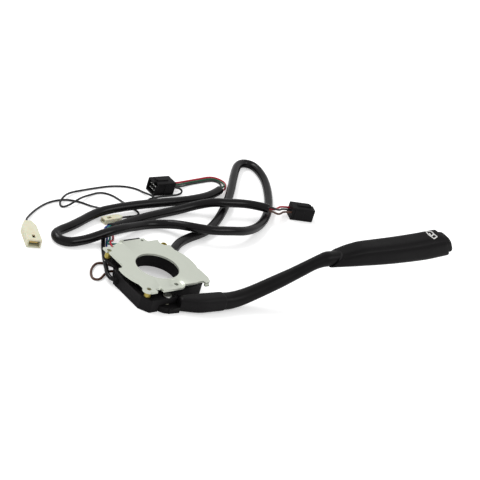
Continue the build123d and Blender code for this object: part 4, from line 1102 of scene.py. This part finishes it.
class SWITCH_OT_grip(Operator):
    """Loft the grip with its slanted mouth, and the washer button in it"""

    bl_idname = "switch.grip"
    bl_label = "Grip and button"

    mouth_depth = 0.020
    button_depth = 0.0055
    button_wall = 0.0014
    tip_depth = 0.0033
    seats = {"button_spring": (-10.4, 0, -2.4), "button_switch": (-14.0, 0, -2.4)}

    def execute(self, context):
        lever = settings("switch_lever")
        sections = eased(GRIP_SECTIONS, steps=5)
        end = sections[-1]
        rings = [grip_ring(section) for section in sections]
        chamfer = 0.0003
        rings.append(grip_ring(end, lever.mouth_rim - chamfer))
        rings.append(grip_ring(end, lever.mouth_rim, -chamfer))
        rings.append(grip_ring(end, lever.mouth_rim, -self.mouth_depth))
        stand_in("grip", "grip_shell", skinned("grip", rings, angle=26))
        for node, shift in self.seats.items():
            self.drawn_back(node, Vector(shift) * MM)
        inset, proud = lever.mouth_rim + lever.button_gap, lever.button_proud
        # Inset and drop of each ring of the button's rounded tip
        tip = (
            (0.0, -0.0034), (0.0002, -0.0022), (0.0006, -0.0013), (0.0012, -0.0006), (0.0020, -0.0002),
            (0.0034, 0.0), (0.0058, 0.0002),
        )
        rings = [
            grip_ring(end, inset + self.button_wall, proud - self.tip_depth),
            grip_ring(end, inset + self.button_wall, -self.button_depth),
            grip_ring(end, inset, -self.button_depth),
        ]
        rings += [grip_ring(end, inset + more, proud + back) for more, back in tip]
        stand_in("washer_button", "button_cap", skinned("washer_button", rings, angle=40))
        return {"FINISHED"}

    def drawn_back(self, node, shift):
        """A copy of a part behind the button, set deeper into the slanted mouth."""
        mesh = frame["nodes"][node].data.copy()
        place = grip_matrix()
        mesh.transform(place @ Matrix.Translation(shift) @ place.inverted())
        mesh.materials.clear()
        stand_in(node, f"{node}_seated", mesh)


class SWITCH_OT_symbol(Operator):
    """Print a plain windscreen symbol on the grip's upper face"""

    bl_idname = "switch.symbol"
    bl_label = "Grip symbol"

    def execute(self, context):
        lever = settings("switch_lever")
        place = grip_matrix()
        grip = bpy.data.objects["grip_shell"].data
        tree = BVHTree.FromPolygons(
            [vertex.co.copy() for vertex in grip.vertices], [tuple(face.vertices) for face in grip.polygons]
        )
        above, lift = 0.03, 0.00016
        down = (place.to_3x3() @ -UP).normalized()
        work = bmesh.new()
        for quad in windscreen_symbol(lever.symbol_width):
            corners = []
            for x, y in quad:
                start = place @ Vector((lever.symbol_reach - y, x, above))
                hit, normal, _, _ = tree.ray_cast(start, down)
                if hit is None:
                    raise RuntimeError("the symbol doesn't lie on the grip")
                corners.append((hit, normal))
            top = [work.verts.new(hit + normal * lift) for hit, normal in corners]
            low = [work.verts.new(hit - normal * lift) for hit, normal in corners]
            work.faces.new(top)
            work.faces.new(list(reversed(low)))
            for i in range(4):
                j = (i + 1) % 4
                work.faces.new((top[j], top[i], low[i], low[j]))
        bmesh.ops.recalc_face_normals(work, faces=work.faces)
        mesh = mesh_from(work, "windscreen_symbol")
        mesh.materials.append(make_print("symbol_print"))
        add_piece("windscreen_symbol", mesh, "lever", "grip_moulding")
        return {"FINISHED"}


class SWITCH_OT_connectors(Operator):
    """Round the connectors and plugs and finish their blades"""

    bl_idname = "switch.connectors"
    bl_label = "Connectors and plugs"

    def execute(self, context):
        connector_round, plug_round = 0.00025, 0.0002
        for node in BLADES:
            rounded_node(node, connector_round if node.startswith("connector") else plug_round)
        dress_nodes(*BLADES.values())
        return {"FINISHED"}


class SWITCH_OT_loom(Operator):
    """Lay the two soft sleeves, the single wires, the thin bundle and the brown loop"""

    bl_idname = "switch.loom"
    bl_label = "Sleeves and wires"

    def execute(self, context):
        self.lay_sleeves(settings("switch_loom"))
        self.lay_wires(context)
        return {"FINISHED"}

    def lay_sleeves(self, loom):
        """Soft tubes with open mouths."""
        for name, (radius, length) in SLEEVES.items():
            line = centreline(name)
            mesh = sleeve_mesh(name, line, radius, loom.mouth_radius, loom.mouth_depth)
            piece = stand_in(name, f"{name}_soft", mesh)

    def lay_wires(self, context):
        """Cords as curves, each in its slot's finish."""
        for name, (radius, length, slot, far_end, carried) in CORDS.items():
            points = route_points(name)
            curve = nurbs_curve(f"{name}_line", points)
            curve.bevel_depth = radius
            curve.bevel_resolution = 4
            curve.use_fill_caps = True
            curve.materials.append(finish(slot))
            piece = bpy.data.objects.new(f"{name}_soft", curve)
            context.scene.collection.objects.link(piece)
            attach(piece, "base")
            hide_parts(name)

    def carried_pieces(self, carried):
        """The connector or plug on a cord, with the blades in it."""
        pieces = [bpy.data.objects[f"{node}_body"] for node in carried]
        return pieces + [frame["nodes"][BLADES[node]] for node in carried]


class SWITCH_OT_rubber(Operator):
    """Make the ribbed cable boot and the bundle's grommet"""

    bl_idname = "switch.rubber"
    bl_label = "Boot and grommet"

    def execute(self, context):
        near, far, grommet_round = 0.0030, 0.0125, 0.0002
        start, second = route_points("trunk_sleeve")[:2]
        ahead = (second - start).normalized()
        line = open_curve("ribbed_boot", [start + ahead * near, start + ahead * far], "POLY")
        values = {
            "Radius": 0.0041, "Rib Height": 0.00025, "Ribs": float(settings("switch_loom").rib_count),
            "Material": finish("black_rubber"),
        }
        stand_in("cable_boot", "ribbed_boot", smoothed(grown(loose(line), ribs_tree(), values), angle=60))
        rounded_node("bundle_grommet", grommet_round)
        return {"FINISHED"}


class SWITCH_OT_stage(Operator):
    """Set the camera, the pale floor and the soft light"""

    bl_idname = "switch.stage"
    bl_label = "Stage"

    def execute(self, context):
        stage = settings("switch_stage")
        self.add_camera(context, stage)
        self.add_floor(context, stage)
        self.add_world(context)
        self.add_lamps(context)
        return {"FINISHED"}

    def add_camera(self, context, stage):
        """Looks at the bore from the photographer's place; the bore's pixel fixes the aim."""
        focal_px, frame_px = 1556.5, 480
        bore_px_x, bore_px_y = 157.45, 265.87
        turn = Matrix.Rotation(stage.heading, 4, "Z")
        turn = turn @ Matrix.Rotation(math.pi / 2 - stage.elevation, 4, "X")
        turn = turn @ Matrix.Rotation(stage.roll, 4, "Z")
        aside, above = frame_px / 2 - bore_px_x, bore_px_y - frame_px / 2
        offset = Vector((aside / focal_px, above / focal_px, 1)) * stage.distance
        camera = bpy.data.cameras.new("Camera")
        camera.sensor_width = 36
        camera.lens = focal_px * camera.sensor_width / frame_px
        camera.clip_start, camera.clip_end = 0.01, 50
        view = bpy.data.objects.new("Camera", camera)
        view.matrix_world = turn @ Matrix.Translation(offset)
        context.scene.collection.objects.link(view)
        context.scene.camera = view

    def add_floor(self, context, stage):
        """A white floor at the resting surface that glows a little for the camera alone."""
        half = stage.floor_size / 2
        mesh = bpy.data.meshes.new("floor")
        corners = [(-half, -half), (half, -half), (half, half), (-half, half)]
        mesh.from_pydata([(x, y, REST) for x, y in corners], [], [(0, 1, 2, 3)])
        material = shader_material("floor_white", (0.86, 0.86, 0.86), 0.9, specular=0.1)
        tree = material.node_tree
        rays = tree.nodes.new("ShaderNodeLightPath")
        glow_strength = 0.42
        glow = maths(tree, "MULTIPLY", glow_strength)
        shader_input(material, "Emission Color").default_value = (1, 1, 1, 1)
        shader = tree.nodes["Principled BSDF"]
        wired(tree, (rays, "Is Camera Ray", glow, 0), (glow, 0, shader, "Emission Strength"))
        mesh.materials.append(material)
        floor = bpy.data.objects.new("floor", mesh)
        context.scene.collection.objects.link(floor)

    def add_world(self, context):
        """A white room, dimmer for the light than for the camera."""
        world = bpy.data.worlds.new("Studio")
        context.scene.world = world
        world.use_nodes = True
        tree = world.node_tree
        background = tree.nodes["Background"]
        rays = tree.nodes.new("ShaderNodeLightPath")
        strength = tree.nodes.new("ShaderNodeMapRange")
        strength.inputs["To Min"].default_value = 0.62
        strength.inputs["To Max"].default_value = 1.0
        wired(tree, (rays, "Is Camera Ray", strength, "Value"), (strength, "Result", background, "Strength"))
        background.inputs["Color"].default_value = (1, 1, 1, 1)

    def add_lamps(self, context):
        """A long soft box behind and above, and a weaker one in front."""
        lamps = {
            "key_box": ((-0.35, 0.75, 1.0), (1.1, 0.35), 9.0),
            "front_box": ((0.7, -0.9, 0.9), (0.8, 0.6), 4.0),
        }
        middle = Vector((0.05, 0.03, 0))
        for name, (place, size, power) in lamps.items():
            lamp = bpy.data.lights.new(name, "AREA")
            lamp.shape = "RECTANGLE"
            lamp.size, lamp.size_y = size
            lamp.energy = power
            box = bpy.data.objects.new(name, lamp)
            box.location = place
            aim = middle - Vector(place)
            box.rotation_euler = aim.to_track_quat("-Z", "Y").to_euler()
            context.scene.collection.objects.link(box)


class SWITCH_PT_panel(Panel):
    """Sizes, colours and steps of the wiper switch"""

    bl_label = "Wiper Switch"
    bl_space_type = "VIEW_3D"
    bl_region_type = "UI"
    bl_category = "Wiper Switch"

    def draw(self, context):
        for name, group in SETTINGS.items():
            box = self.layout.box()
            for field in group.__annotations__:
                box.prop(getattr(context.scene, name), field)
        for operator in OPERATORS:
            self.layout.operator(operator.bl_idname)


OPERATORS = (
    SWITCH_OT_stage,
    SWITCH_OT_connectors,
    SWITCH_OT_loom,
    SWITCH_OT_body,
    SWITCH_OT_hardware,
    SWITCH_OT_lever,
    SWITCH_OT_grip,
    SWITCH_OT_symbol,
    SWITCH_OT_rubber,
)


CLASSES = (*SETTINGS.values(), *OPERATORS, SWITCH_PT_panel)


def register():
    for item in CLASSES:
        bpy.utils.register_class(item)
    for name, group in SETTINGS.items():
        setattr(bpy.types.Scene, name, PointerProperty(type=group))


def unregister():
    for name in SETTINGS:
        delattr(bpy.types.Scene, name)
    for item in reversed(CLASSES):
        bpy.utils.unregister_class(item)


def main():
    register()
    context = bpy.context
    context.scene.view_settings.view_transform = "Standard"
    for operator in OPERATORS:
        group, action = operator.bl_idname.split(".")
        getattr(getattr(bpy.ops, group), action)()


if __name__ == "__main__":
    main()
